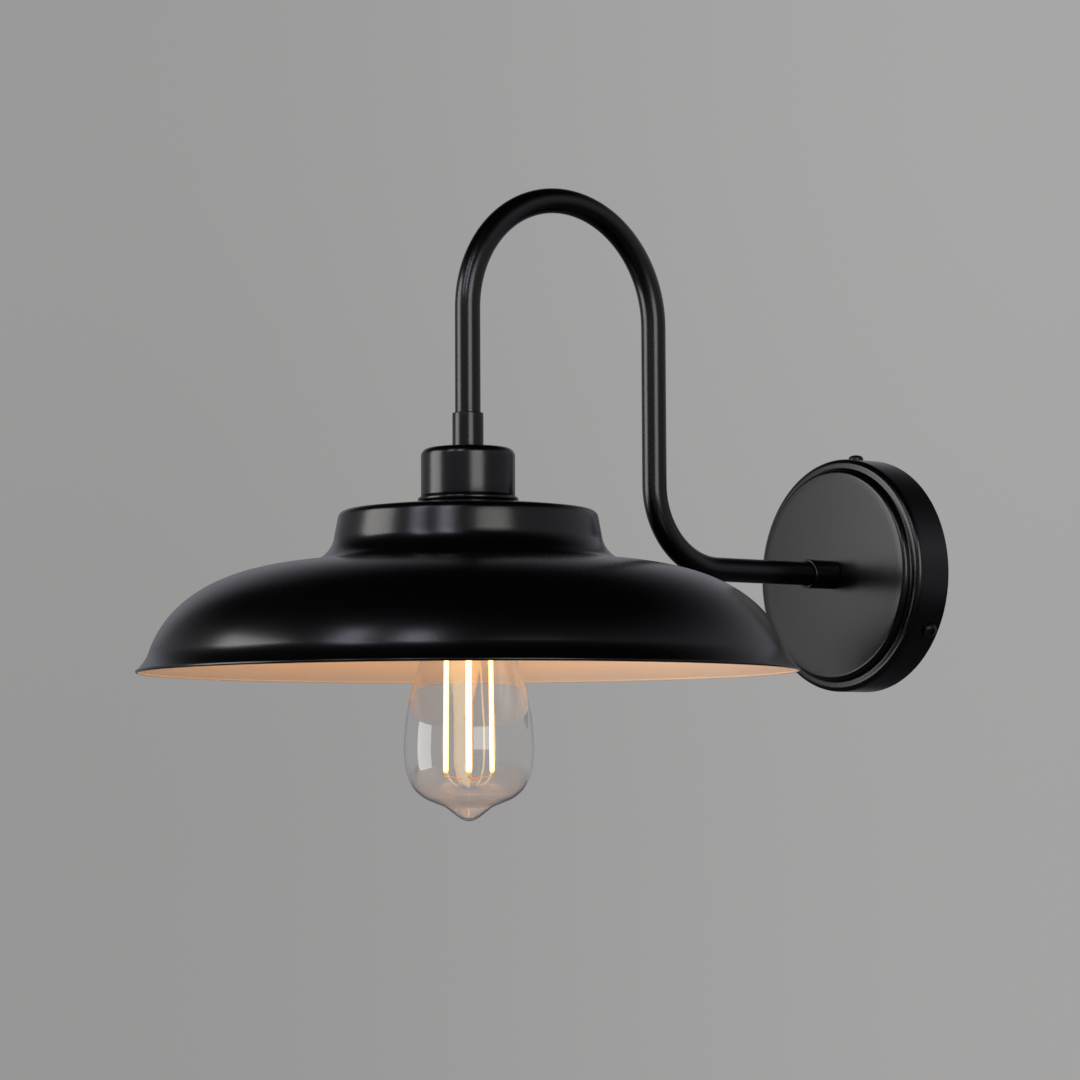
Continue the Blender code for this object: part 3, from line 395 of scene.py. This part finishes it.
def surface(name, points, closed, materials, body, slot, nodes, sharp=40, lining=None, along=False):
    """A closed mesh from a grid of points, rows by columns by 3, whose columns run round.

    Where closed, the last row joins the first. Doubles are merged, normals face out, and edges over sharp
    degrees stay crisp. lining gives the first row that takes the second material. along adds a UV layer with
    the column as x and the row as y, both from 0 to 1.
    """
    rows, columns = points.shape[:2]
    i = np.arange(rows if closed else rows - 1)[:, None]
    j = np.arange(columns)[None, :]
    after, beside = (i + 1) % rows, (j + 1) % columns
    faces = np.stack(
        (i * columns + j, i * columns + beside, after * columns + beside, after * columns + j), axis=-1
    ).reshape(-1, 4)
    mesh = bpy.data.meshes.new(name)
    mesh.from_pydata(points.reshape(-1, 3).tolist(), [], faces.tolist())
    for material in materials:
        mesh.materials.append(material)
    if lining is not None:
        lined = np.repeat((i[:, 0] >= lining).astype(np.int32), columns)
        mesh.polygons.foreach_set("material_index", lined)
    if along:
        layer = mesh.uv_layers.new(name="along")
        corners = np.stack((j + 0 * i, j + 1 + 0 * i, j + 1 + 0 * i, j + 0 * i), axis=-1) / columns
        heights = np.stack((i + 0 * j, i + 0 * j, i + 1 + 0 * j, i + 1 + 0 * j), axis=-1) / (rows - 1)
        layer.data.foreach_set("uv", np.stack((corners, heights), axis=-1).ravel())
    build = bmesh.new()
    build.from_mesh(mesh)
    bmesh.ops.remove_doubles(build, verts=build.verts, dist=0.002 * MM)
    bmesh.ops.recalc_face_normals(build, faces=build.faces)
    build.to_mesh(mesh)
    build.free()
    mesh.shade_smooth()
    mesh.set_sharp_from_angle(angle=math.radians(sharp))
    made = bpy.data.objects.new(name, mesh)
    bpy.context.scene.collection.objects.link(made)
    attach(made, body)
    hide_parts(*nodes)
    return made


def spun(outline, steps, centre=SHADE_AXIS, up=Z, side=X, ripple=None):
    """Points of a surface of revolution.

    A point (r, z) of the outline goes to centre + r (side cos t + across sin t) + up z, where across is
    up x side. ripple, given t, z and r, returns what to add to r.
    """
    turn = np.linspace(0, 2 * math.pi, steps, endpoint=False)[None, :]
    radius = np.repeat(outline[:, :1], steps, axis=1)
    height = np.repeat(outline[:, 1:], steps, axis=1)
    if ripple:
        radius = radius + ripple(turn, height, radius)
    across = np.cross(up, side)
    round_axis = np.cos(turn)[..., None] * side + np.sin(turn)[..., None] * across
    return centre + radius[..., None] * round_axis + height[..., None] * up


def swept(path, radii, steps, side):
    """Points of a tube: each row is a circle of its own radius about a point of the path.

    The circle lies across the path's direction d, as radius (side cos t + (d x side) sin t).
    """
    way = np.gradient(path, axis=0)
    way /= np.linalg.norm(way, axis=1)[:, None]
    turn = np.linspace(0, 2 * math.pi, steps, endpoint=False)
    first = side - (way @ side)[:, None] * way
    first /= np.linalg.norm(first, axis=1)[:, None]
    second = np.cross(way, first)
    ring = np.cos(turn)[None, :, None] * first[:, None] + np.sin(turn)[None, :, None] * second[:, None]
    return path[:, None] + np.broadcast_to(radii, len(path))[:, None, None] * ring


def joined(*outlines):
    return np.concatenate([np.atleast_2d(outline) for outline in outlines])


def mm(*pairs):
    return np.array(pairs) * MM


def in_black(name, points, node):
    """A closed piece of the fixture in the black coat."""
    surface(name, points, True, [BLACK], "fixture", "satin_black_paint", [node])


# ---- Shade ----------------------------------------------------------------------------------------

SHADE_HOLE = 20.1 * MM
SHADE_WALL = 1.0 * MM
BEAD_RADIUS = 0.85 * MM


def shade_outline():
    """The shade's outer outline: dome, tight corner, slope, hollow, saucer, and a lip that flares and drops.

    The dome falls 4 (0.68 t + 0.32 t^2) mm, where t runs from the hole to the drum's edge. The saucer is a
    quarter of |x|^n + |y|^n = 1, and the lip drops evenly while its radius grows with 0.52 s + 0.48 s^2.
    """
    hole, dome_fall = SHADE_HOLE, 4 * MM
    drum, corner = 60.6 * MM, 4.0 * MM
    t = np.linspace(0, 1, 26)[:-1, None]
    dome = np.hstack((hole + (drum - hole) * t, SHADE_TOP - dome_fall * (0.68 * t + 0.32 * t**2)))
    edge = arc((drum, SHADE_TOP - 2 * corner), corner, 82.6, 10, 10)
    hollow_centre, hollow_radius = (81.5 * MM, SHADE_TOP - 14.3 * MM), 15.5 * MM
    hollow = arc(hollow_centre, hollow_radius, 196, 262, 18)
    centre, half = (60 * MM, SHADE_TOP - 102.3 * MM), (100.7 * MM, 73 * MM)
    start, end, power = 80.5 * MM, 157.3 * MM, 2.54
    share = np.sin(np.linspace(0, math.pi / 2, 44))[:, None]
    radius = start + (end - start) * share
    across = np.abs((radius - centre[0]) / half[0]) ** power
    saucer = np.hstack((radius, centre[1] + half[1] * (1 - across) ** (1 / power)))
    s = np.linspace(0, 1, 12)[1:, None]
    flare, drop = LIP_RADIUS - end, 8.2 * MM
    lip = np.hstack((end + flare * (0.52 * s + 0.48 * s**2), saucer[-1, 1] - drop * s))
    return joined(dome, edge, line(edge[-1], hollow[0], 6)[1:], hollow, saucer, lip)


def shade_profile():
    """The whole section of the shade's sheet, and the row at which its white lining starts.

    The outline runs down the outside, round a beaded edge that is black for its first 12 points, and back up
    the inside.
    """
    outer = shade_outline()
    inner = inward(outer, SHADE_WALL)
    bead = arc((outer[-1] + inner[-1]) / 2, BEAD_RADIUS, 100, -188, 19)
    return joined(outer[:-1], bead, inner[-2::-1]), len(outer) + 11


profile, lining_start = shade_profile()
surface(
    "shade_shell",
    spun(profile, 240),
    True,
    [BLACK, ENAMEL],
    "shade",
    "satin_black_paint",
    ["shade"],
    lining=lining_start,
)


# ---- Cup, ring and collars over the shade ---------------------------------------------------------


def cup_outline():
    """The socket cup: flat top, rounded edge, straight side, rolled bottom edge, and the same inside."""
    low, high = low_high("socket_cup")
    radius, top, bottom = high[0], high[2], low[2]
    corner, thick, straight_foot = 4.0 * MM, 1.2 * MM, bottom + 0.4 * MM
    edge = arc((radius - corner, top - corner), corner, 90, 0, 14)
    outside = joined(line((NIPPLE_HOLE, top), edge[0], 8), edge, line(edge[-1], (radius, straight_foot), 8))
    rolled = arc((radius - thick / 2, bottom + thick / 2), thick / 2, 0, -180, 9)
    inside_edge = arc((radius - corner, top - corner), corner - thick, 0, 90, 10)
    inside = joined(line(rolled[-1], inside_edge[0], 8), inside_edge, [(NIPPLE_HOLE, top - thick)])
    return joined(outside[:-1], rolled[:-1], inside)


def ring_outline(node, inner):
    """A ring whose outside is a half circle, and whose bore is straight."""
    low, high = low_high(node)
    half = (high[2] - low[2]) / 2
    bulge = arc((high[0] - half, low[2] + half), half, 90, -90, 15)
    return joined([(inner, high[2])], bulge, [(inner, low[2])])


def collar_outline(low, high):
    """A collar: rounded ends outside, a tube's socket at the high end and a nipple's bore at the low end."""
    radius, edge = 7.75 * MM, 0.6 * MM
    nipple_end = low + 7.5 * MM
    tube, widening, lead_in = TUBE_RADIUS + CLEARANCE, 0.2 * MM, 0.3 * MM
    top = arc((radius - edge, high - edge), edge, 90, 0, 7)
    foot = arc((radius - edge / 2, low + edge / 2), edge / 2, 0, -90, 5)
    bore = [(NIPPLE_HOLE, low), (NIPPLE_HOLE, nipple_end), (tube, nipple_end)]
    mouth = [(tube, high - lead_in), (tube + widening, high)]
    return joined(top, line(top[-1], foot[0], 6)[1:], foot, bore, mouth)


FOOT_RING_BORE = 22.4 * MM

in_black("socket_cup_shell", spun(cup_outline(), 144), "socket_cup")
in_black("cup_foot_ring", spun(ring_outline("cup_base_ring", FOOT_RING_BORE), 144), "cup_base_ring")
low, high = low_high("shade_collar")
in_black("shade_end_collar", spun(collar_outline(low[2], high[2]), 80), "shade_collar")
low, high = low_high("wall_collar")
wall_end = spun(collar_outline(-high[1], -low[1]), 80, centre=np.zeros(3), up=-Y)
in_black("wall_end_collar", wall_end, "wall_collar")


# ---- Arm ------------------------------------------------------------------------------------------


def arm_path():
    """The arm's centreline: out from the wall, quarter turn up, riser, half turn over, down to the shade."""
    reach = -SHADE_AXIS[1]
    arch = (reach - RISER_REACH) / 2
    bend = 42.5 * MM
    rise = TUBE_HIGH[2] - TUBE_RADIUS - arch
    above_collar_foot = 7.8 * MM
    start, end = -TUBE_HIGH[1], low_high("shade_collar")[0][2] + above_collar_foot
    corner = arc((RISER_REACH - bend, bend), bend, -90, 0, 28)
    over = arc((RISER_REACH + arch, rise), arch, 180, 0, 60)
    flat = joined(
        line((start, 0), corner[0], 14),
        corner,
        line(corner[-1], over[0], 12)[1:],
        over,
        line(over[-1], (reach, end), 12)[1:],
        [(reach, end)],
    )
    return np.column_stack((np.zeros(len(flat)), -flat[:, 0], flat[:, 1]))


route = arm_path()
outside = swept(route, TUBE_RADIUS, 64, X)
inside = swept(route, TUBE_RADIUS - TUBE_WALL, 64, X)[::-1]
in_black("bent_arm", np.concatenate((outside, inside)), "arm_tube")


# ---- Canopy ---------------------------------------------------------------------------------------


def canopy_outline():
    """The canopy from its bore: flat face, rounded edge, cove, shelf, rounded shoulder, side and inside."""
    face, step = CANOPY_DEPTH, 4.6 * MM
    shelf = face - step
    rim, round_edge, cove, shoulder = 54.6 * MM, 2.6 * MM, 1.2 * MM, 3.0 * MM
    thick, inside_corner = 1.2 * MM, 0.6 * MM
    side = rim + round_edge
    edge = arc((rim, face - round_edge), round_edge, 90, 0, 12)
    hollow = arc((side + cove, shelf + cove), cove, 180, 270, 8)
    fall = arc((CANOPY_RADIUS - shoulder, shelf - shoulder), shoulder, 90, 0, 12)
    outside = joined(
        line((NIPPLE_HOLE, face), edge[0], 14),
        edge,
        hollow,
        fall,
        line(fall[-1], (CANOPY_RADIUS, CANOPY_BACK), 8)[1:],
        [(CANOPY_RADIUS, CANOPY_BACK)],
    )
    wide, narrow = CANOPY_RADIUS - thick, side - thick
    inside = joined(
        [(wide, CANOPY_BACK)],
        arc((CANOPY_RADIUS - shoulder, shelf - shoulder), shoulder - thick, 0, 90, 7),
        [(narrow + inside_corner, shelf - thick), (narrow, shelf - thick + inside_corner)],
        arc((rim, face - round_edge), round_edge - thick, 0, 90, 7),
        [(NIPPLE_HOLE, face - thick)],
    )
    return joined(outside, inside)


in_black("canopy_shell", spun(canopy_outline(), 200, centre=np.zeros(3), up=-Y), "canopy")


def pan_screw(name, angle):
    """A cross-head pan screw through the canopy's side.

    Its outline spins about the line out from the canopy's middle. The head has a cross sunk in it, 1.4 mm
    deep where the nearer of |u| and |v| is under 0.38 mm and the farther under 1.7 mm. Its sides and ends
    slope up to the dome, which they meet at 0.62 mm and 2.2 mm.
    """
    out = np.array([math.cos(angle), 0, math.sin(angle)])
    seat = CANOPY_RADIUS + CLEARANCE
    from_wall = 7.2 * MM
    radius, height = 4.0 * MM, 2.8 * MM
    t = np.linspace(0, 1.5, 30)[:, None]
    head = np.hstack((radius * np.sin(t), height * (0.15 + 0.85 * np.cos(t) ** 0.75)))
    head[:, 0] *= radius / head[-1, 0]
    shank, point, tapered_from, length = 2.0 * MM, 1.2 * MM, 7.2 * MM, 8 * MM
    body = [(radius, 0), (shank, 0), (shank, -tapered_from), (point, -length), (0, -length)]
    points = spun(joined(head, body), 96, centre=np.zeros(3), up=Z, side=X)
    u, v = np.abs(points[..., 0]), np.abs(points[..., 1])
    near, far = np.minimum(u, v), np.maximum(u, v)
    depth, half_width, side_slope, half_length, end_slope = mm(1.4, 0.62, 0.24, 2.2, 0.5)
    cross = np.clip((half_width - near) / side_slope, 0, 1) * np.clip((half_length - far) / end_slope, 0, 1)
    points[: len(head), :, 2] -= depth * cross[: len(head)]
    across = np.cross(out, Y)
    turned = points[..., 0:1] * across + points[..., 1:2] * Y + points[..., 2:3] * out
    placed = turned + out * seat - Y * from_wall
    visible = name.replace("canopy_", "side_")
    surface(visible, placed, False, [SCREW_BLACK], "fixture", "dark_zinc", [name], 30)


for name, angle in (("canopy_screw_top", 90), ("canopy_screw_right", -30), ("canopy_screw_left", 210)):
    pan_screw(name, math.radians(angle))


# ---- Lampholder and shade ring --------------------------------------------------------------------

ON_THREAD = 0.01 * MM  # how near a point's radius is to a thread's for the thread to move it


def lampholder():
    """The holder's skirt with its screw thread outside, a shoulder over the shade, and a spigot above."""
    low, high = low_high("holder_body")
    skirt, bore, shoulder, spigot = 19.7 * MM, 14.6 * MM, high[0], 18.6 * MM
    seat = SHADE_TOP + CLEARANCE
    top = seat + 3.9 * MM
    thread_top, thread_foot, thread_depth = seat - 1.5 * MM, low[2] + 1 * MM, 0.5 * MM
    chamfer, foot = 0.3 * MM, 0.8 * MM
    outline = joined(
        [(spigot, high[2]), (spigot, top), (shoulder - chamfer, top), (shoulder, top - chamfer)],
        [(shoulder, seat), (skirt, seat)],
        line((skirt, thread_top), (skirt, thread_foot), 150),
        arc((skirt - foot, low[2] + foot), foot, 0, -90, 6),
        arc((bore + foot, low[2] + foot), foot, 270, 180, 6),
        [(bore, high[2])],
    )

    def thread(turn, height, radius):
        """A round-topped thread on the skirt's straight stretch, fading out over 1 mm at each end."""
        fade = np.clip((thread_top - height) / MM, 0, 1) * np.clip((height - thread_foot) / MM, 0, 1)
        wave = 0.5 - 0.5 * np.cos(2 * math.pi * height / SKIRT_PITCH - turn)
        return np.where(np.abs(radius - skirt) < ON_THREAD, -thread_depth, 0) * fade * wave

    return spun(outline, 96, ripple=thread)


surface("lampholder_skirt", lampholder(), True, [BAKELITE], "fixture", "black_bakelite", ["holder_body"])


def clamp_ring():
    """The shade ring: scalloped grips round the outside, which fade at its rounded edges."""
    low, high = low_high("shade_ring")
    radius, inner, edge = high[0], SHADE_HOLE, 0.8 * MM
    top = arc((radius - edge, high[2] - edge), edge, 90, 0, 6)
    foot = arc((radius - edge, low[2] + edge), edge, 0, -90, 6)
    outline = joined([(inner, high[2])], top, line(top[-1], foot[0], 8)[1:], foot, [(inner, low[2])])

    def grips(turn, height, radii):
        count, depth = 36, 0.45 * MM
        return np.where(radii > radius - 0.5 * MM, -depth, 0) * (0.5 - 0.5 * np.cos(count * turn)) ** 3

    return spun(outline, 360, ripple=grips)


surface("shade_clamp_ring", clamp_ring(), True, [BAKELITE], "ring", "black_bakelite", ["shade_ring"])


def rolled_thread(middle, top, foot):
    """A rolled lamp thread between two heights, fading out over 0.8 mm at each end.

    Its radius is middle + 0.525 cos(2 pi z / pitch - t) mm.
    """
    swing, fading = 0.525 * MM, 0.8 * MM

    def ripple(turn, height, radius):
        fade = np.clip((top - height) / fading, 0, 1) * np.clip((height - foot) / fading, 0, 1)
        wave = swing * np.cos(2 * math.pi * height / CAP_PITCH - turn)
        return np.where(np.abs(radius - middle) < ON_THREAD, wave * fade, 0)

    return ripple


def contact_shell():
    """The shell that the bulb screws into: a straight outside, a threaded bore and a roof with a hole."""
    low, high = low_high("holder_contact_shell")
    thread, outside, hole = 13.375 * MM, 14.3 * MM, 8 * MM
    thread_top, thread_foot, roof = high[2] - 0.9 * MM, low[2] + 0.2 * MM, high[2] - 0.7 * MM
    outline = joined(
        [(outside, high[2]), (outside, low[2]), (thread + 0.6 * MM, low[2])],
        line((thread, thread_foot), (thread, thread_top), 110),
        [(hole, roof), (hole, high[2])],
    )
    return spun(outline, 96, ripple=rolled_thread(thread, thread_top, low[2]))


def cap():
    """The bulb's cap: a rolled thread, and below it a plain collar round the neck."""
    low, high = low_high("bulb_cap")
    thread, core, hole, end = 12.675 * MM, 11.2 * MM, 8 * MM, 10.8 * MM
    thread_top, thread_foot, collar_top = high[2] - 0.8 * MM, low[2] + 4.1 * MM, low[2] + 3.5 * MM
    collar_outside, collar_inside = 13.33 * MM, 12.93 * MM
    outline = joined(
        [(hole, high[2]), (end, high[2])],
        line((thread, thread_top), (thread, thread_foot), 100),
        [(collar_outside, collar_top), (collar_outside, low[2])],
        [(collar_inside, low[2]), (collar_inside, collar_top)],
        [(core, collar_top + 0.8 * MM), (core, high[2] - MM), (hole, high[2] - MM)],
    )
    return spun(outline, 96, ripple=rolled_thread(thread, thread_top, thread_foot))


surface("screw_shell", contact_shell(), True, [BRASS], "fixture", "brass", ["holder_contact_shell"])
surface("screw_cap", cap(), True, [NICKEL], "bulb", "nickel_plate", ["bulb_cap"])


# ---- Bulb -----------------------------------------------------------------------------------------

GLASS_LOW, GLASS_HIGH = low_high("bulb_glass")
BULB_TOP = 12 * MM  # height of the cap's contact, the far end of the bulb from its glass tip
GLASS_WALL = 0.8 * MM


def glass_outline():
    """The envelope: up the inside from the tip, over the neck's edge, and down the outside to the tip.

    Each point is a share of the greatest radius, and a share of the bulb's length down from its top.
    """
    width, length = GLASS_HIGH[0], BULB_TOP - GLASS_LOW[2]
    neck = [(0.394, 0.1676), (0.4016, 0.2042), (0.49, 0.289), (0.63, 0.373), (0.77, 0.454), (0.872, 0.535)]
    belly = [(0.953, 0.62), (0.997, 0.711), (1, 0.775), (0.956, 0.838), (0.85, 0.889), (0.688, 0.921)]
    pinch = [(0.488, 0.941), (0.369, 0.952), (0.25, 0.972), (0.125, 0.992), (0.06, 0.9985), (0, 1)]
    points = np.array(neck + belly + pinch)
    outside = curve_through(np.column_stack((width * points[:, 0], BULB_TOP - length * points[:, 1])), 120)
    outside[-1] = (0, GLASS_LOW[2])
    inside = inward(outside, GLASS_WALL)
    clear_of_axis = 0.05 * MM
    inside = inside[inside[:, 0] > clear_of_axis]
    return joined([(0, inside[-1, 1])], inside[::-1], outside)


envelope = spun(glass_outline(), 144)
surface("blown_envelope", envelope, False, [GLASS], "bulb", "clear_glass", ["bulb_glass"], 60)


def stem_outline():
    """The flare inside the neck, drawn up to the pinched rod that holds the leads."""
    low, high = low_high("bulb_stem")
    points = mm((10.2, 14.4), (10.6, 15.4), (8.6, 17.4), (4.6, 23), (3.2, 30), (3, 37), (1.8, 40))
    points[:, 1] *= -1
    curve = curve_through(points, 60)
    return joined([(0, high[2])], curve, [(0, low[2])])


surface("flared_stem", spun(stem_outline(), 64), False, [GLASS], "bulb", "clear_glass", ["bulb_stem"], 50)


def strip_ends(index):
    """The middle of a filament's top and bottom ends, from the corners of its own CAD node."""
    points = np.empty(len(NODES[f"filament_{index}"].data.vertices) * 3, np.float32)
    NODES[f"filament_{index}"].data.vertices.foreach_get("co", points)
    points = points.reshape(-1, 3)
    middle = (points[:, 2].max() + points[:, 2].min()) / 2
    return points[points[:, 2] > middle].mean(axis=0), points[points[:, 2] < middle].mean(axis=0)


STRIP_RADIUS = 0.9 * MM

for index in range(1, 7):
    top, bottom = strip_ends(index)
    share = np.linspace(0, 1, 40)
    path = top + (bottom - top) * share[:, None]
    length = np.linalg.norm(bottom - top)
    from_end = np.minimum(share, 1 - share) * length
    radii = STRIP_RADIUS * np.sqrt(1 - (1 - np.clip(from_end / STRIP_RADIUS, 0, 1)) ** 2)
    surface(
        f"phosphor_strip_{index}",
        swept(path, radii, 20, X),
        False,
        [PHOSPHOR],
        "bulb",
        "lit_filament",
        [f"filament_{index}"],
        60,
        along=True,
    )


# ---- Finishes for the plain pieces ----------------------------------------------------------------

slots = {piece["node"]: piece["material_slot"] for piece in frame["record"]["subparts"]}
for name, node in NODES.items():
    # Links and leads take the wire finish with its painted glow.
    material = PAINTED_GLOW_WIRE if name.startswith("filament_l") else FINISHES[slots[name]]
    node.data.materials.clear()
    node.data.materials.append(material)


# ---- Room, lights and camera ----------------------------------------------------------------------


def emitter(name, strength, colour):
    made, tree = finish(name)
    tree.finish(tree.add("Emission", {"Color": rgb(*colour), "Strength": strength}))
    return made


def flat(name, corners, material):
    """An object of one four-cornered face."""
    mesh = bpy.data.meshes.new(name)
    mesh.from_pydata([tuple(corner) for corner in corners], [], [(0, 1, 2, 3)])
    mesh.materials.append(material)
    made = bpy.data.objects.new(name, mesh)
    bpy.context.scene.collection.objects.link(made)
    return made


def panel(name, bearing, distance, width, low, high, strength, colour):
    """A glowing upright panel facing the shade.

    bearing is the direction from the shade's axis in degrees from +X. low and high are the heights of its
    edges above the lantern's origin.
    """
    angle = math.radians(bearing)
    out = np.array([math.cos(angle), math.sin(angle), 0])
    across = np.array([-math.sin(angle), math.cos(angle), 0]) * width / 2
    middle = SHADE_AXIS + out * distance
    corners = [middle - across + Z * high, middle + across + Z * high]
    corners += [middle + across + Z * low, middle - across + Z * low]
    made = flat(name, corners, emitter(name, strength, colour))
    made.visible_camera = False
    made.visible_transmission = False


CAMERA_AZIMUTH = 53.585  # degrees from straight ahead, round to the right
FACING = CAMERA_AZIMUTH - 90  # the camera's direction from the shade's axis, in degrees from +X
panel("tall_window", FACING - 86.5, 2.0, 1.16, -0.7, 1.14, 4.3, (1.0, 0.985, 0.96))
panel("front_window", FACING + 22, 2.2, 1.12, -0.1, 1.15, 4.1, (1.0, 0.98, 0.955))
panel("blue_window_left", FACING - 46, 2.2, 0.42, 0.85, 2.1, 5.0, (0.84, 0.84, 1.0))
panel("blue_window_right", FACING - 20, 2.2, 0.42, 0.85, 2.1, 5.6, (0.86, 0.86, 1.0))


def glow(name, radius, height, bearing, power):
    """A small warm lamp inside the shade that lights its lining and shows in nothing."""
    data = bpy.data.lights.new(name, "POINT")
    data.energy = power
    data.color = (1.0, 0.44, 0.12)
    data.shadow_soft_size = 8 * MM
    made = bpy.data.objects.new(name, data)
    angle = math.radians(bearing)
    made.location = SHADE_AXIS + np.array([radius * math.cos(angle), radius * math.sin(angle), height])
    made.visible_glossy = False
    made.visible_transmission = False
    made.visible_camera = False
    bpy.context.scene.collection.objects.link(made)


for index in range(4):
    glow(f"warm_glow_{index + 1}", 52 * MM, -22 * MM, 45 + 90 * index, 0.090)


def pale_floor():
    """A floor under the lantern that its paint doesn't reflect."""
    half, height = 3.4, SHADE_TOP - 0.8
    corners = [(x * half, y * half, height) for x, y in ((-1, -1), (1, -1), (1, 1), (-1, 1))]
    paint = varied("pale_floor", (0.62, 0.61, 0.60), (0.56, 0.55, 0.54), (0.6, 0.75), 120, 0.2 * MM, cloud=2)
    made = flat("floor", corners, paint)
    made.visible_glossy = False


pale_floor()


def soft_room():
    """A pale wall behind the lantern, and a dim room in front that its paint reflects."""
    world = bpy.data.worlds.new("soft_room")
    world.use_nodes = True
    room = Tree(world.node_tree)
    direction = room.add("TexCoord", output="Generated")
    parts = room.tree.nodes.new("ShaderNodeSeparateXYZ")
    plug(parts.inputs[0], direction)
    x, y, z = (Value(socket) for socket in parts.outputs)
    beside = x * 0.611 + y * 0.792  # how far to the camera's right a direction points
    wall = 0.312 + beside.step(-0.14, 0.16) * 0.062 + z.step(-0.02, 0.22) * 0.018
    room_glow = 0.004 + 0.27 * (1 - z.step(0.10, 0.62)) * (1 - (z * -1).step(0.02, 0.45) * 0.85)
    room_glow = room_glow + 0.22 * y.step(0.02, 0.25) * z.step(0.05, 0.35) * (1 - z.step(0.4, 0.8))
    through_glass = room.add("LightPath", output="Is Transmission Ray")
    seen = room.add("LightPath", output="Is Camera Ray").maths("MAXIMUM", through_glass)
    strength = seen * wall + (1 - seen) * room_glow
    colour = room.blend(seen, rgb(0.94, 0.95, 1.06), rgb(1.0, 0.985, 0.98))
    output = room.tree.nodes.new("ShaderNodeOutputWorld")
    plug(output.inputs["Surface"], room.add("Background", {"Color": colour, "Strength": strength}))
    bpy.context.scene.world = world


soft_room()


def camera():
    """The camera at the lantern's right front, a little below the shade, with a long lens."""
    data = bpy.data.cameras.new("camera")
    data.lens = 109.017
    data.sensor_width = 36
    data.clip_start = 0.05
    made = bpy.data.objects.new("camera", data)
    bpy.context.scene.collection.objects.link(made)
    bearing = math.radians(CAMERA_AZIMUTH)
    away, height = 1.61512, -0.11255
    heading, tilt, roll = math.radians(52.325), math.radians(4.288), math.radians(-0.2722)
    place = Vector(SHADE_AXIS) + Vector((away * math.sin(bearing), -away * math.cos(bearing), height))
    turn = Matrix.Rotation(heading, 4, "Z") @ Matrix.Rotation(math.pi / 2 + tilt, 4, "X")
    made.matrix_world = Matrix.Translation(place) @ turn @ Matrix.Rotation(roll, 4, "Z")
    bpy.context.scene.camera = made


camera()
bpy.context.scene.view_settings.view_transform = "Standard"
